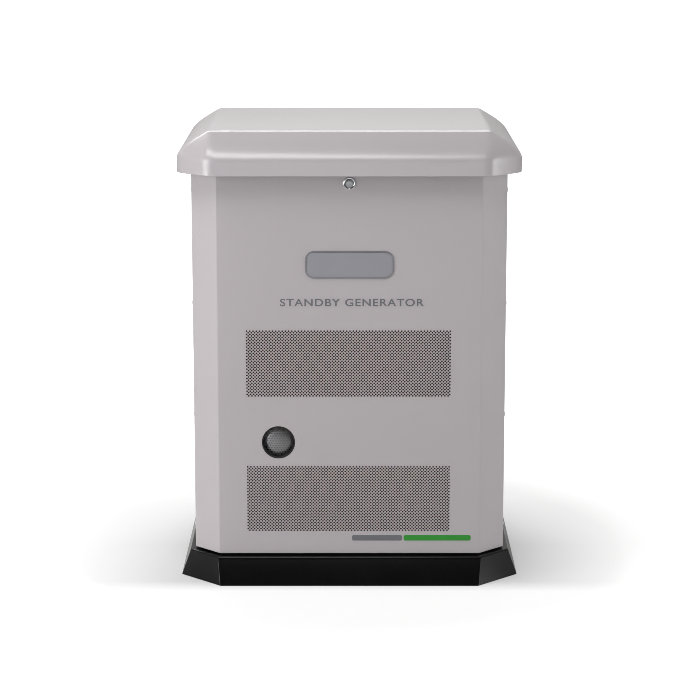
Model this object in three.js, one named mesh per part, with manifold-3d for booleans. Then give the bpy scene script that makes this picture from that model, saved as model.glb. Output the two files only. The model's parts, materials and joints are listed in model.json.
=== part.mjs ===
// Home standby generator: an upright steel case with four chamfered corners on a flared black base,
// closed by a moulded lid that lifts on a rear hinge. Inside stand a vertical-shaft V-twin engine over
// its alternator, the silencer, the battery, the gas train and the control box.
// Millimetres, +Z up, the front faces -Y, and the origin is under the middle of the base.

import * as THREE from "three";
import { ConvexGeometry } from "three/addons/geometries/ConvexGeometry.js";
import { mergeVertices } from "three/addons/utils/BufferGeometryUtils.js";
import Module from "manifold-3d";

const wasm = await Module();
wasm.setup();

// ---------------------------------------------------------------- driving dimensions

const CLEAR = 0.3; // gap between pieces that touch
const RUNNING = 0.3; // radial gap round a turning or sliding piece

const CASE = { width: 658, depth: 566, corner: 54, sheet: 2, bottom: 64, top: 905, lap: 14, seam: 0.6 };
const BASE = { height: 58.7, rimOut: 10.5, footOut: 31, rimCorner: 61, footCorner: 87 };
const PLINTH = { inset: 10, rise: 3.3 };
const LID = { out: 29.5, corner: 64, bottom: CASE.top - 34.4, skirt: 36.3, rise: 50, wall: 3.5 };
const LID_SLOPE = { x: 66, y: 70 };
const FRAME = { sheet: 2, height: 35, shelf: 20 };
const SEAL = { out: 3.5, width: 13.5, height: 11.7 };
const PAN = { sheet: 3, gap: 0.5, flange: 2, height: 33 };

const HINGE = { back: 14, drop: 4.6, knuckle: 6, pin: 3, length: 420, knuckles: 5, leaf: 2, leafHeight: 40 };
const LOCK = { z: CASE.top - 52, flange: 12.5, barrel: 9.5, plug: 8, depth: 28, proud: 3 };
const CAM = { width: 12, length: 29, plate: 3 };
const KEEPER = { near: 12, leg: 32, width: 12, under: 5, lip: 10, back: 18 };

const SHAFT = { x: 70, y: 20 };
const ISOLATOR = { radius: 20, waist: 15, height: 26, plate: 4, x: 130, y: 120 };
const CRADLE = { width: 320, depth: 300, plate: 5, lip: 14, hole: 60 };
const BRACKET = { radius: 122, height: 28, plate: 10, hub: 30, windows: 6, window: 16, windowAt: 72 };
const ALTERNATOR = { radius: 125, wall: 4, height: 284, neck: 104, neckHeight: 32 };
const AIR_SLOT = { count: 8, size: 28, top: 50 };
const STATOR = { bore: 84, height: 150, above: 25, slots: 12, slotWidth: 12, slotDepth: 22 };
const WINDING = { head: 20, inner: 86, outer: 108, slack: 0.5 };
const ROTOR = { radius: 82, height: 146, poles: 4, poleGap: 18, poleDepth: 26, hubWall: 12 };
const ROTOR_FAN = { radius: 105, plate: 3, blades: 8, blade: 19, inner: 60, above: 42 };
const CRANK = { end: 12.7, seat: 20, journal: 17.5, pin: 19, throw: 34, nose: 15, tip: 10, tipProud: 14 };
const WEB = { radius: 60, thick: 15, foot: 26, top: 40 };
const CRANKCASE = { radius: 95, cavity: 80, height: 190, floor: 14, flange: 105, flangeHeight: 10 };
const BARREL = { core: 45, bore: 36, start: 70, end: 185, fin: 104, finThick: 2.5, fins: 5, finPitch: 16 };
const BANK = { angle: 45, leftHeight: 100, rightHeight: 120 };
const HEAD = { deck: 30, size: 90, fin: 108, cover: 30, coverSize: 80 };
const COVER = { plate: 10, hub: 30, hubHeight: 6 };
const FLYWHEEL = { radius: 112, ring: 118, plate: 18, blades: 10, blade: 32, gap: 5 };
const SCREEN = { radius: 96, plate: 3 };
const BLOWER = { radius: 168, sheet: 2, inlet: 92, height: 112 };
const DUCT = { end: 215, width: 124, height: 50 };
const STARTER = { radius: 30, nose: 22, at: 130, angle: 45, bottom: 500, length: 100, noseLength: 18 };
const FILTER = { radius: 37, start: 105, length: 85, angle: 15, z: 460, boss: 25 };
const DIPSTICK = { angle: 140, foot: 97, head: 190, low: 440, high: 590, tube: 9, bore: 6, rod: 3, grip: 12 };

const INTAKE = { radius: 14, y: -215, body: 24, bore: 16, top: 600, shaft: 3, shaftZ: 570, lever: 32 };
const AIRBOX = { width: 174, depth: 112, tray: 44, cap: 40, wall: 2.5, gap: 10, filter: 60 };
const MUFFLER = { x: -200, width: 180, depth: 240, height: 165, round: 38, bottom: 225, front: 48 };
const OUTLET = { x: -149, z: 305, hole: 35, pipe: 34, wall: 1.5, flange: 44, flangeThick: 3 };
const DOME = { rise: 10, sink: 1 };
const EXHAUST = { radius: 13, run: 434, gap: 1 };
const BATTERY = { width: 173, depth: 206, height: 197, lid: 32, step: 1.5 };
const POST = { radius: 8.5, height: 16, fromSide: 26, fromEnd: 36 };
const BATTERY_AT = { x: -198.5, y: 148 };
const CABLE = { radius: 5, clamp: 15, clampHeight: 12 };
const REGULATOR = { x: 215, y: 210, z: 215, radius: 55, depth: 46, rim: 8, neck: 12 };
const GAS = { pipe: 13.3, bore: 10.5, hole: 14, stick: 26, hose: 9 };
const CONDUIT = { x: 90, z: 200, hole: 17.5 };

const CONTROL = { width: 182, depth: 320, height: 135, sheet: 2, top: CASE.top - 55, y: -20, wallGap: 15 };
const FASCIA = { plate: 3, slack: 0.5 };
const CONTROLLER = { width: 96, depth: 150, flange: 6, flangeThick: 5, body: 50, y: 62 };
const DISPLAY = { width: 66, depth: 40, sink: 1.2, y: 34 };
const BUTTON = { radius: 7, height: 7, proud: 3, travel: 1.5, pitch: 22, y: -38, well: 6 };
const BREAKER = { width: 52, depth: 76, height: 60, y: -88, boss: 3, slotWidth: 16, slotDepth: 44 };
const TOGGLE = { barrel: 11, width: 14, lever: 34, thick: 9, tilt: 25, sink: 13 };

// ---------------------------------------------------------------- finishes

const FINISH = {
  panelPaint: { color: 0xaba5a8, roughness: 0.55, metalness: 0.1 },
  lidPaint: { color: 0xb9b2b5, roughness: 0.4, metalness: 0.05 },
  blackPlastic: { color: 0x121111, roughness: 0.4, metalness: 0 },
  zincSteel: { color: 0xb4b6b8, roughness: 0.45, metalness: 0.9 },
  chrome: { color: 0xd8d8da, roughness: 0.15, metalness: 1 },
  castAluminium: { color: 0x9c9ea0, roughness: 0.6, metalness: 0.8 },
  forgedSteel: { color: 0x77797c, roughness: 0.4, metalness: 1 },
  blackSteel: { color: 0x1d1d1f, roughness: 0.5, metalness: 0.4 },
  hotSteel: { color: 0x8a857f, roughness: 0.6, metalness: 0.8 },
  copper: { color: 0xa65a2e, roughness: 0.45, metalness: 0.6 },
  rubber: { color: 0x1a1a1a, roughness: 0.85, metalness: 0 },
  foam: { color: 0x2b2b2d, roughness: 0.95, metalness: 0 },
  redRubber: { color: 0x9d1b16, roughness: 0.6, metalness: 0 },
  filterPaper: { color: 0xd9c48f, roughness: 0.9, metalness: 0 },
  filterPaint: { color: 0x2f3133, roughness: 0.35, metalness: 0.2 },
  controlGrey: { color: 0x55585c, roughness: 0.55, metalness: 0 },
  greenKey: { color: 0x1f8a2a, roughness: 0.45, metalness: 0 },
  greyKey: { color: 0xc8c8c6, roughness: 0.45, metalness: 0 },
  redKey: { color: 0xb5201a, roughness: 0.45, metalness: 0 },
};

// ---------------------------------------------------------------- shapes

function toSolid(geometry) {
  const bare = geometry.index ? geometry.toNonIndexed() : geometry.clone();
  bare.deleteAttribute("normal");
  bare.deleteAttribute("uv");
  const merged = mergeVertices(bare, 1e-3);
  const triVerts = new Uint32Array(merged.index.array);
  const vertProperties = merged.attributes.position.array;
  const made = new wasm.Manifold(new wasm.Mesh({ numProp: 3, vertProperties, triVerts }));
  if (made.volume() > 0) return made;
  for (let i = 0; i < triVerts.length; i += 3) {
    [triVerts[i + 1], triVerts[i + 2]] = [triVerts[i + 2], triVerts[i + 1]];
  }
  return new wasm.Manifold(new wasm.Mesh({ numProp: 3, vertProperties, triVerts }));
}

function toGeometry(body) {
  const mesh = body.getMesh();
  const indexed = new THREE.BufferGeometry();
  indexed.setAttribute("position", new THREE.BufferAttribute(mesh.vertProperties, 3));
  indexed.setIndex(new THREE.BufferAttribute(mesh.triVerts, 1));
  const flat = indexed.toNonIndexed();
  flat.computeVertexNormals();
  return flat;
}

const join = (...parts) => toGeometry(parts.map(toSolid).reduce((a, b) => a.add(b)));
const cut = (body, ...tools) => toGeometry(tools.map(toSolid).reduce((a, b) => a.subtract(b), toSolid(body)));
const common = (a, b) => toGeometry(toSolid(a).intersect(toSolid(b)));

function block(x0, x1, y0, y1, z0, z1) {
  const box = new THREE.BoxGeometry(x1 - x0, y1 - y0, z1 - z0);
  return box.translate((x0 + x1) / 2, (y0 + y1) / 2, (z0 + z1) / 2);
}

// A round bar between two points.
function bar(radius, from, to, sides = 16) {
  const a = new THREE.Vector3(...from);
  const along = new THREE.Vector3(...to).sub(a);
  const upright = new THREE.Vector3(0, 1, 0);
  const turn = new THREE.Quaternion().setFromUnitVectors(upright, along.clone().normalize());
  const round = new THREE.CylinderGeometry(radius, radius, along.length(), sides);
  return round.applyQuaternion(turn).translate(...a.addScaledVector(along, 0.5).toArray());
}

const disc = (radius, z0, z1, sides = 20) => bar(radius, [0, 0, z0], [0, 0, z1], sides);

// A closed [radius, height] outline turned about the Z axis.
function turned(outline, sides = 20) {
  const points = [...outline, outline[0]].map(([r, z]) => new THREE.Vector2(r, z));
  return toGeometry(toSolid(new THREE.LatheGeometry(points, sides).rotateX(Math.PI / 2)));
}

function pipeRing(outer, inner, z0, z1, sides = 20) {
  return turned([[inner, z0], [outer, z0], [outer, z1], [inner, z1]], sides);
}

// A round rod or hose that follows a smooth curve through the points.
function swept(points, radius, sides = 8, steps = 26) {
  const section = new THREE.Shape();
  for (let i = 0; i < sides; i++) {
    const angle = (2 * Math.PI * i) / sides;
    const corner = [radius * Math.cos(angle), radius * Math.sin(angle)];
    if (i === 0) section.moveTo(...corner);
    else section.lineTo(...corner);
  }
  const path = new THREE.CatmullRomCurve3(points.map((p) => new THREE.Vector3(...p)), false, "centripetal");
  return new THREE.ExtrudeGeometry(section, { steps, extrudePath: path, bevelEnabled: false });
}

function octagonCorners(halfX, halfY, corner) {
  const x = halfX - corner;
  const y = halfY - corner;
  return [
    [x, -halfY], [halfX, -y], [halfX, y], [x, halfY],
    [-x, halfY], [-halfX, y], [-halfX, -y], [-x, -halfY],
  ];
}

// The eight corners of the case outline, moved in by an even distance.
function caseOutline(inset) {
  const corner = CASE.corner - inset * (2 - Math.SQRT2);
  return octagonCorners(CASE.width / 2 - inset, CASE.depth / 2 - inset, corner);
}

function prism(corners, z0, z1) {
  const shape = new THREE.Shape(corners.map(([x, y]) => new THREE.Vector2(x, y)));
  return new THREE.ExtrudeGeometry(shape, { depth: z1 - z0, bevelEnabled: false }).translate(0, 0, z0);
}

const caseRing = (outer, inner, z0, z1) =>
  cut(prism(caseOutline(outer), z0, z1), prism(caseOutline(inner), z0 - 1, z1 + 1));

const hull = (points) => new ConvexGeometry(points.map((p) => new THREE.Vector3(...p)));
const atHeight = (corners, z) => corners.map(([x, y]) => [x, y, z]);

// Copies of a geometry spread evenly round the Z axis.
function around(count, geometry) {
  return Array.from({ length: count }, (_, i) => geometry.clone().rotateZ((2 * Math.PI * i) / count));
}

function piece(parent, name, geometry, finish, at = [0, 0, 0]) {
  const mesh = new THREE.Mesh(geometry, new THREE.MeshStandardMaterial(FINISH[finish]));
  mesh.name = name;
  mesh.position.set(...at);
  parent.add(mesh);
}

// ---------------------------------------------------------------- places worked out once

const HALF_WIDTH = CASE.width / 2;
const HALF_DEPTH = CASE.depth / 2;
const FAR = 2000; // longer than anything that is cut
const FRONT_INNER = -HALF_DEPTH + CASE.sheet;
const REAR_INNER = HALF_DEPTH - CASE.sheet;
const HINGE_Y = HALF_DEPTH + HINGE.back;
const HINGE_Z = LID.bottom - HINGE.drop;

const PAN_Z = BASE.height + PLINTH.rise + CLEAR;
const FLOOR_Z = PAN_Z + PAN.sheet + CLEAR;
const CRADLE_Z = FLOOR_Z + ISOLATOR.height + CLEAR;
const BRACKET_Z = CRADLE_Z + CRADLE.plate + CLEAR;
const HOUSING_Z = BRACKET_Z + BRACKET.height + CLEAR;
const CRANKCASE_Z = HOUSING_Z + ALTERNATOR.height + CLEAR;
const COVER_Z = CRANKCASE_Z + CRANKCASE.height + CLEAR;
const FLYWHEEL_Z = COVER_Z + COVER.plate + COVER.hubHeight + FLYWHEEL.gap;
const SCREEN_Z = FLYWHEEL_Z + FLYWHEEL.plate + FLYWHEEL.blade + CLEAR;
const BANKS = [
  { side: "left", turn: -Math.PI / 2 - (BANK.angle * Math.PI) / 180, z: BANK.leftHeight },
  { side: "right", turn: -Math.PI / 2 + (BANK.angle * Math.PI) / 180, z: BANK.rightHeight },
];

const generator = new THREE.Group();
const driveLine = new THREE.Group();
driveLine.position.set(SHAFT.x, SHAFT.y, 0);
generator.add(driveLine);

// ---------------------------------------------------------------- base and case

function addBase() {
  const foot = octagonCorners(HALF_WIDTH + BASE.footOut, HALF_DEPTH + BASE.footOut, BASE.footCorner);
  const rim = octagonCorners(HALF_WIDTH + BASE.rimOut, HALF_DEPTH + BASE.rimOut, BASE.rimCorner);
  const flare = hull([...atHeight(foot, 0), ...atHeight(rim, BASE.height)]);
  const plinth = prism(caseOutline(PLINTH.inset), BASE.height / 2, BASE.height + PLINTH.rise);
  piece(generator, "base_pad", join(flare, plinth), "blackPlastic");

  const inset = CASE.sheet + PAN.gap;
  const tray = prism(caseOutline(inset), PAN_Z, PAN_Z + PAN.sheet);
  const flange = caseRing(inset, inset + PAN.flange, PAN_Z, PAN_Z + PAN.height);
  piece(generator, "floor_pan", join(tray, flange), "zincSteel");
}

function addPanels() {
  const walls = caseRing(0, CASE.sheet, CASE.bottom, CASE.top);
  const seamY = HALF_DEPTH - CASE.corner - CASE.lap;
  const sideY = seamY - CASE.seam;
  const outletHole = bar(OUTLET.hole, [OUTLET.x, -FAR, OUTLET.z], [OUTLET.x, 0, OUTLET.z], 40);
  const lockHole = bar(LOCK.barrel + CLEAR, [0, -FAR, LOCK.z], [0, 0, LOCK.z]);
  const gasHole = bar(GAS.hole, [REGULATOR.x, 0, REGULATOR.z], [REGULATOR.x, FAR, REGULATOR.z]);
  const conduitHole = bar(CONDUIT.hole, [CONDUIT.x, 0, CONDUIT.z], [CONDUIT.x, FAR, CONDUIT.z]);
  const front = common(walls, block(-FAR, FAR, -FAR, -seamY, 0, FAR));
  const rear = common(walls, block(-FAR, FAR, seamY, FAR, 0, FAR));
  piece(generator, "front_panel", cut(front, outletHole, lockHole), "panelPaint");
  piece(generator, "rear_panel", cut(rear, gasHole, conduitHole), "panelPaint");
  piece(generator, "left_panel", common(walls, block(-FAR, 0, -sideY, sideY, 0, FAR)), "panelPaint");
  piece(generator, "right_panel", common(walls, block(0, FAR, -sideY, sideY, 0, FAR)), "panelPaint");
}

function addTopFrame() {
  const inset = CASE.sheet + CLEAR;
  const leg = caseRing(inset, inset + FRAME.sheet, CASE.top - FRAME.height, CASE.top);
  const shelf = caseRing(inset, inset + FRAME.shelf, CASE.top - FRAME.sheet, CASE.top);
  piece(generator, "top_frame", join(leg, shelf), "zincSteel");
  const bottom = CASE.top + CLEAR;
  const seal = caseRing(-SEAL.out, SEAL.width - SEAL.out, bottom, bottom + SEAL.height);
  piece(generator, "top_seal", seal, "foam");
}

// ---------------------------------------------------------------- lid, hinge and lock

// The lid's outside: an upright octagonal skirt, four sloping sides and a square-cornered flat top.
// The inside is the same shape one wall further in, cut through at the bottom.
function lidShape(wall) {
  const tilt = Math.atan2(LID_SLOPE.y, LID.rise);
  const halfX = HALF_WIDTH + LID.out;
  const halfY = HALF_DEPTH + LID.out;
  const corner = LID.corner - wall * (2 - Math.SQRT2);
  const skirt = octagonCorners(halfX - wall, halfY - wall, corner);
  const crease = LID.bottom + LID.skirt - wall * Math.tan(tilt / 2);
  const topInset = wall * Math.tan((Math.PI / 2 - tilt) / 2);
  const top = octagonCorners(halfX - LID_SLOPE.x - topInset, halfY - LID_SLOPE.y - topInset, 0);
  const low = wall > 0 ? LID.bottom - 1 : LID.bottom;
  const ceiling = LID.bottom + LID.skirt + LID.rise - wall;
  return hull([...atHeight(skirt, low), ...atHeight(skirt, crease), ...atHeight(top, ceiling)]);
}

const CAM_Y = FRONT_INNER + LOCK.depth + CLEAR;
const KEEPER_TOP = LID.bottom + LID.skirt + LID.rise / 2;

function addLid() {
  const outside = lidShape(0);
  const shell = cut(outside, lidShape(LID.wall));
  const pad = block(0, 2 * KEEPER.leg, CAM_Y - KEEPER.width, CAM_Y + KEEPER.back, KEEPER_TOP + CLEAR, FAR);
  piece(generator, "lid", join(shell, common(pad, outside)), "lidPaint");

  const lipTop = LOCK.z - CAM.width / 2 - KEEPER.under;
  const legEnd = KEEPER.leg + KEEPER.width;
  const leg = block(KEEPER.leg, legEnd, CAM_Y, CAM_Y + CAM.plate, lipTop - KEEPER.lip, KEEPER_TOP);
  const lip = block(KEEPER.near, legEnd, CAM_Y, CAM_Y + CAM.plate, lipTop - KEEPER.lip, lipTop);
  const foot = block(KEEPER.near, legEnd, CAM_Y, CAM_Y + KEEPER.back, KEEPER_TOP - CAM.plate, KEEPER_TOP);
  piece(generator, "latch_keeper", join(leg, lip, foot), "zincSteel");
}

function addHinge() {
  const pitch = HINGE.length / HINGE.knuckles;
  const start = -HINGE.length / 2;
  const axis = (x0, x1, radius) => bar(radius, [x0, HINGE_Y, HINGE_Z], [x1, HINGE_Y, HINGE_Z]);
  const bodyParts = [];
  const lidParts = [];
  const leafBack = HALF_DEPTH + CLEAR;
  const lidLeafY = HALF_DEPTH + LID.out - LID.wall - CLEAR;
  const plateTop = HINGE_Z - HINGE.knuckle - 2;
  const plateLow = plateTop - HINGE.leafHeight;
  bodyParts.push(block(start, -start, leafBack, leafBack + HINGE.leaf, plateLow, plateTop));
  const lidPlateZ = HINGE_Z + HINGE.knuckle + 1;
  const lidPlateTop = LID.bottom + LID.skirt - HINGE.knuckle;
  lidParts.push(block(start, -start, lidLeafY - HINGE.leaf, lidLeafY, lidPlateZ, lidPlateTop));
  for (let i = 0; i < HINGE.knuckles; i++) {
    const x0 = start + i * pitch + CLEAR;
    const x1 = start + (i + 1) * pitch - CLEAR;
    const knuckle = axis(x0, x1, HINGE.knuckle);
    const bodyArm = block(x0, x1, leafBack, HINGE_Y, plateTop - HINGE.leaf, HINGE_Z - HINGE.pin - 1);
    const lidArm = block(x0, x1, HINGE_Y, lidLeafY, HINGE_Z + HINGE.pin + 1, lidPlateZ + HINGE.leaf);
    if (i % 2) bodyParts.push(knuckle, bodyArm);
    else lidParts.push(knuckle, lidArm);
  }
  const bore = axis(-HINGE.length, HINGE.length, HINGE.pin + RUNNING);
  const head = axis(start - 2 - CLEAR, start - CLEAR, HINGE.knuckle - 1);
  piece(generator, "hinge_body_leaf", cut(join(...bodyParts), bore), "zincSteel");
  piece(generator, "hinge_lid_leaf", cut(join(...lidParts), bore), "zincSteel");
  piece(generator, "hinge_pin", join(axis(start - 2, -start + 2, HINGE.pin), head), "forgedSteel");
}

function addLock() {
  const face = -HALF_DEPTH - CLEAR;
  const inner = FRONT_INNER + LOCK.depth;
  const along = (radius, y0, y1) => bar(radius, [0, y0, LOCK.z], [0, y1, LOCK.z]);
  const barrel = join(along(LOCK.flange, face - LOCK.proud, face), along(LOCK.barrel, face - 1, inner));
  const bore = along(LOCK.plug + RUNNING, -FAR, FAR);
  piece(generator, "lock_barrel", cut(barrel, bore), "chrome");

  const keyway = block(-1, 1, face - FAR, face - LOCK.proud + 6, LOCK.z - 4.5, LOCK.z + 4.5);
  const plug = cut(along(LOCK.plug, face - LOCK.proud - 0.5, inner - CLEAR), keyway);
  piece(generator, "lock_plug", plug, "chrome");

  const hub = along(LOCK.plug, CAM_Y, CAM_Y + CAM.plate);
  const half = CAM.width / 2;
  const tongue = block(-half, half, CAM_Y, CAM_Y + CAM.plate, LOCK.z, LOCK.z + CAM.length);
  piece(generator, "lock_cam", join(hub, tongue), "zincSteel");
}

// ---------------------------------------------------------------- mounting and alternator

function addMounting() {
  const { radius, waist, height } = ISOLATOR;
  const outline = [
    [0, 0], [radius, 0], [radius, ISOLATOR.plate], [waist, height / 2],
    [radius, height - ISOLATOR.plate], [radius, height], [0, height],
  ];
  const spots = { front_left: [-1, -1], front_right: [1, -1], rear_left: [-1, 1], rear_right: [1, 1] };
  for (const [where, [sx, sy]] of Object.entries(spots)) {
    const at = [sx * ISOLATOR.x, sy * ISOLATOR.y, FLOOR_Z];
    piece(driveLine, `isolator_${where}`, turned(outline, 12), "rubber", at);
  }
  const x = CRADLE.width / 2;
  const y = CRADLE.depth / 2;
  const plate = block(-x, x, -y, y, 0, CRADLE.plate);
  const skirt = block(-x, x, -y, y, -CRADLE.lip, 1);
  const inside = block(-x + CRADLE.plate, x - CRADLE.plate, -y + CRADLE.plate, y - CRADLE.plate, -FAR, 0);
  const channel = cut(join(plate, skirt), inside, disc(CRADLE.hole, -FAR, FAR));
  piece(driveLine, "generator_cradle", channel, "blackSteel", [0, 0, CRADLE_Z]);
}

function addAlternator() {
  const bore = CRANK.end + RUNNING;
  const rim = BRACKET.radius - 8;
  const casting = turned([
    [bore, 0], [BRACKET.radius, 0], [BRACKET.radius, BRACKET.height], [rim, BRACKET.height],
    [rim, BRACKET.plate], [BRACKET.hub, BRACKET.plate], [BRACKET.hub, BRACKET.height], [bore, BRACKET.height],
  ]);
  const window = disc(BRACKET.window, -1, BRACKET.plate + 1, 12).translate(BRACKET.windowAt, 0, 0);
  const bracket = cut(casting, ...around(BRACKET.windows, window));
  piece(driveLine, "alternator_end_bracket", bracket, "castAluminium", [0, 0, BRACKET_Z]);

  const { radius, wall, height, neck, neckHeight } = ALTERNATOR;
  const inner = radius - wall;
  const can = turned([
    [inner, 0], [radius, 0], [radius, height - neckHeight], [neck, height],
    [neck - 2 * wall, height], [inner, height - neckHeight - wall],
  ]);
  const ventLow = height - AIR_SLOT.top - AIR_SLOT.size;
  const ventHalf = AIR_SLOT.size / 2;
  const vent = block(inner - wall, FAR, -ventHalf, ventHalf, ventLow, height - AIR_SLOT.top);
  const housing = cut(can, ...around(AIR_SLOT.count, vent));
  piece(driveLine, "alternator_housing", housing, "blackSteel", [0, 0, HOUSING_Z]);

  const coreOuter = inner - CLEAR;
  const slotEnd = STATOR.bore + STATOR.slotDepth;
  const half = STATOR.slotWidth / 2;
  const slot = block(STATOR.bore - 5, slotEnd, -half, half, -1, STATOR.height + 1);
  const core = cut(pipeRing(coreOuter, STATOR.bore, 0, STATOR.height), ...around(STATOR.slots, slot));
  const coreZ = HOUSING_Z + STATOR.above;
  piece(driveLine, "stator_core", core, "forgedSteel", [0, 0, coreZ]);

  const slack = WINDING.slack;
  const ringLow = pipeRing(WINDING.outer, WINDING.inner, -slack - WINDING.head, -slack);
  const headZ = STATOR.height + slack;
  const ringHigh = pipeRing(WINDING.outer, WINDING.inner, headZ, headZ + WINDING.head);
  const wire = half - slack;
  const bundle = block(WINDING.inner + 1, slotEnd - slack, -wire, wire, -2, STATOR.height + 2);
  const windings = join(ringLow, ringHigh, ...around(STATOR.slots, bundle));
  piece(driveLine, "stator_windings", windings, "copper", [0, 0, coreZ]);

  const shaftBore = CRANK.seat + CLEAR;
  const fanZ = ROTOR.height + ROTOR_FAN.above;
  const fanTop = fanZ + ROTOR_FAN.plate;
  const poles = pipeRing(ROTOR.radius, shaftBore, 0, ROTOR.height);
  const gapHalf = ROTOR.poleGap / 2;
  const gap = block(ROTOR.radius - ROTOR.poleDepth, FAR, -gapHalf, gapHalf, -1, ROTOR.height + 1);
  const hub = pipeRing(shaftBore + ROTOR.hubWall, shaftBore, ROTOR.height - 1, fanZ + 1);
  const fanDisc = pipeRing(ROTOR_FAN.radius, shaftBore, fanZ, fanTop);
  const blade = block(ROTOR_FAN.inner, ROTOR_FAN.radius - 1, -1, 1, fanTop - 1, fanTop + ROTOR_FAN.blade);
  const body = cut(poles, ...around(ROTOR.poles, gap));
  const rotor = join(body, hub, fanDisc, ...around(ROTOR_FAN.blades, blade));
  piece(driveLine, "rotor", rotor, "forgedSteel", [0, 0, coreZ + (STATOR.height - ROTOR.height) / 2]);
}

// ---------------------------------------------------------------- engine

function dipstickAxis() {
  const angle = (DIPSTICK.angle * Math.PI) / 180;
  const at = (r, z) => new THREE.Vector3(r * Math.cos(angle), r * Math.sin(angle), z);
  const low = at(DIPSTICK.foot, DIPSTICK.low);
  const high = at(DIPSTICK.head, DIPSTICK.high);
  return { low, high, along: high.clone().sub(low).normalize() };
}

function addCrankshaft() {
  const foot = BRACKET_Z + 2;
  const seatTop = HOUSING_Z + STATOR.above + ROTOR.height + 60;
  const webLow = CRANKCASE_Z + CRANKCASE.floor + WEB.foot;
  const webHigh = COVER_Z - WEB.top;
  const noseTop = FLYWHEEL_Z + FLYWHEEL.plate;
  const shaft = turned([
    [0, foot], [CRANK.end, foot], [CRANK.end, HOUSING_Z + 2], [CRANK.seat, HOUSING_Z + 2],
    [CRANK.seat, seatTop], [CRANK.journal, seatTop], [CRANK.journal, webLow + 1], [0, webLow + 1],
  ]);
  const nose = turned([
    [0, webHigh - 1], [CRANK.journal, webHigh - 1], [CRANK.journal, FLYWHEEL_Z - 2],
    [CRANK.nose, FLYWHEEL_Z - 2], [CRANK.nose, noseTop], [CRANK.tip, noseTop],
    [CRANK.tip, SCREEN_Z + CRANK.tipProud], [0, SCREEN_Z + CRANK.tipProud],
  ]);
  const webs = [webLow, webHigh - WEB.thick].map((z) => disc(WEB.radius, z, z + WEB.thick));
  const pin = disc(CRANK.pin, webLow + 1, webHigh - 1, 24).translate(0, -CRANK.throw, 0);
  piece(driveLine, "crankshaft", join(shaft, nose, pin, ...webs), "forgedSteel");
}

function addCrankcase() {
  const { radius, cavity, height, floor, flange, flangeHeight } = CRANKCASE;
  const parts = [disc(radius, 0, height), disc(flange, 0, flangeHeight)];
  const cuts = [disc(cavity, floor, height + 1), disc(CRANK.journal + RUNNING, -1, floor + 1)];
  for (const bank of BANKS) {
    const along = (r, x0, x1, sides) => bar(r, [x0, 0, bank.z], [x1, 0, bank.z], sides).rotateZ(bank.turn);
    parts.push(along(BARREL.core, BARREL.start, BARREL.end, 16));
    cuts.push(along(BARREL.bore, 0, BARREL.end + 1, 14));
    for (let i = 0; i < BARREL.fins; i++) {
      const x = BARREL.end - 5 - i * BARREL.finPitch;
      const half = BARREL.fin / 2;
      const fin = block(x - BARREL.finThick, x, -half, half, bank.z - half, bank.z + half);
      parts.push(fin.rotateZ(bank.turn));
    }
  }
  const filterTurn = (FILTER.angle * Math.PI) / 180;
  const bossZ = FILTER.z - CRANKCASE_Z;
  parts.push(bar(FILTER.boss, [cavity + 5, 0, bossZ], [FILTER.start - CLEAR, 0, bossZ]).rotateZ(filterTurn));

  const { low, high, along } = dipstickAxis();
  const toLocal = (v) => v.clone().setZ(v.z - CRANKCASE_Z).toArray();
  const root = low.clone().addScaledVector(along, -12);
  parts.push(bar(DIPSTICK.tube, toLocal(root), toLocal(high), 16));
  const above = high.clone().addScaledVector(along, 10);
  cuts.push(bar(DIPSTICK.bore, toLocal(low), toLocal(above), 16));
  piece(driveLine, "crankcase", cut(join(...parts), ...cuts), "castAluminium", [0, 0, CRANKCASE_Z]);

  const plate = disc(radius, 0, COVER.plate);
  const hub = disc(COVER.hub, 1, COVER.plate + COVER.hubHeight);
  const cover = cut(join(plate, hub), disc(CRANK.journal + RUNNING, -1, FAR));
  piece(driveLine, "crankcase_cover", cover, "castAluminium", [0, 0, COVER_Z]);
}

function addHeads() {
  const start = BARREL.end + CLEAR;
  const square = (x0, x1, size) => block(x0, x1, -size / 2, size / 2, -size / 2, size / 2);
  for (const bank of BANKS) {
    const fins = [4, 14, 24].map((x) => square(start + x, start + x + BARREL.finThick, HEAD.fin));
    const core = square(start, start + HEAD.deck + 1, HEAD.size);
    const cover = square(start + HEAD.deck, start + HEAD.deck + HEAD.cover, HEAD.coverSize);
    const head = join(core, cover, ...fins).rotateZ(bank.turn);
    piece(driveLine, `cylinder_head_${bank.side}`, head, "castAluminium", [0, 0, CRANKCASE_Z + bank.z]);
  }
}

function addFlywheel() {
  const bore = CRANK.nose + CLEAR;
  const plate = pipeRing(FLYWHEEL.radius, bore, 0, FLYWHEEL.plate);
  const ringGear = pipeRing(FLYWHEEL.ring, FLYWHEEL.radius - 4, 2, 10, 24);
  const top = FLYWHEEL.plate + FLYWHEEL.blade;
  const blade = block(58, FLYWHEEL.radius - 4, -1.5, 1.5, FLYWHEEL.plate - 1, top).rotateZ(0.1);
  const wheel = join(plate, ringGear, ...around(FLYWHEEL.blades, blade));
  piece(driveLine, "flywheel", wheel, "castAluminium", [0, 0, FLYWHEEL_Z]);
  const screen = pipeRing(SCREEN.radius, 10 + CLEAR, 0, SCREEN.plate);
  piece(driveLine, "debris_screen", screen, "blackSteel", [0, 0, SCREEN_Z]);
}

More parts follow.
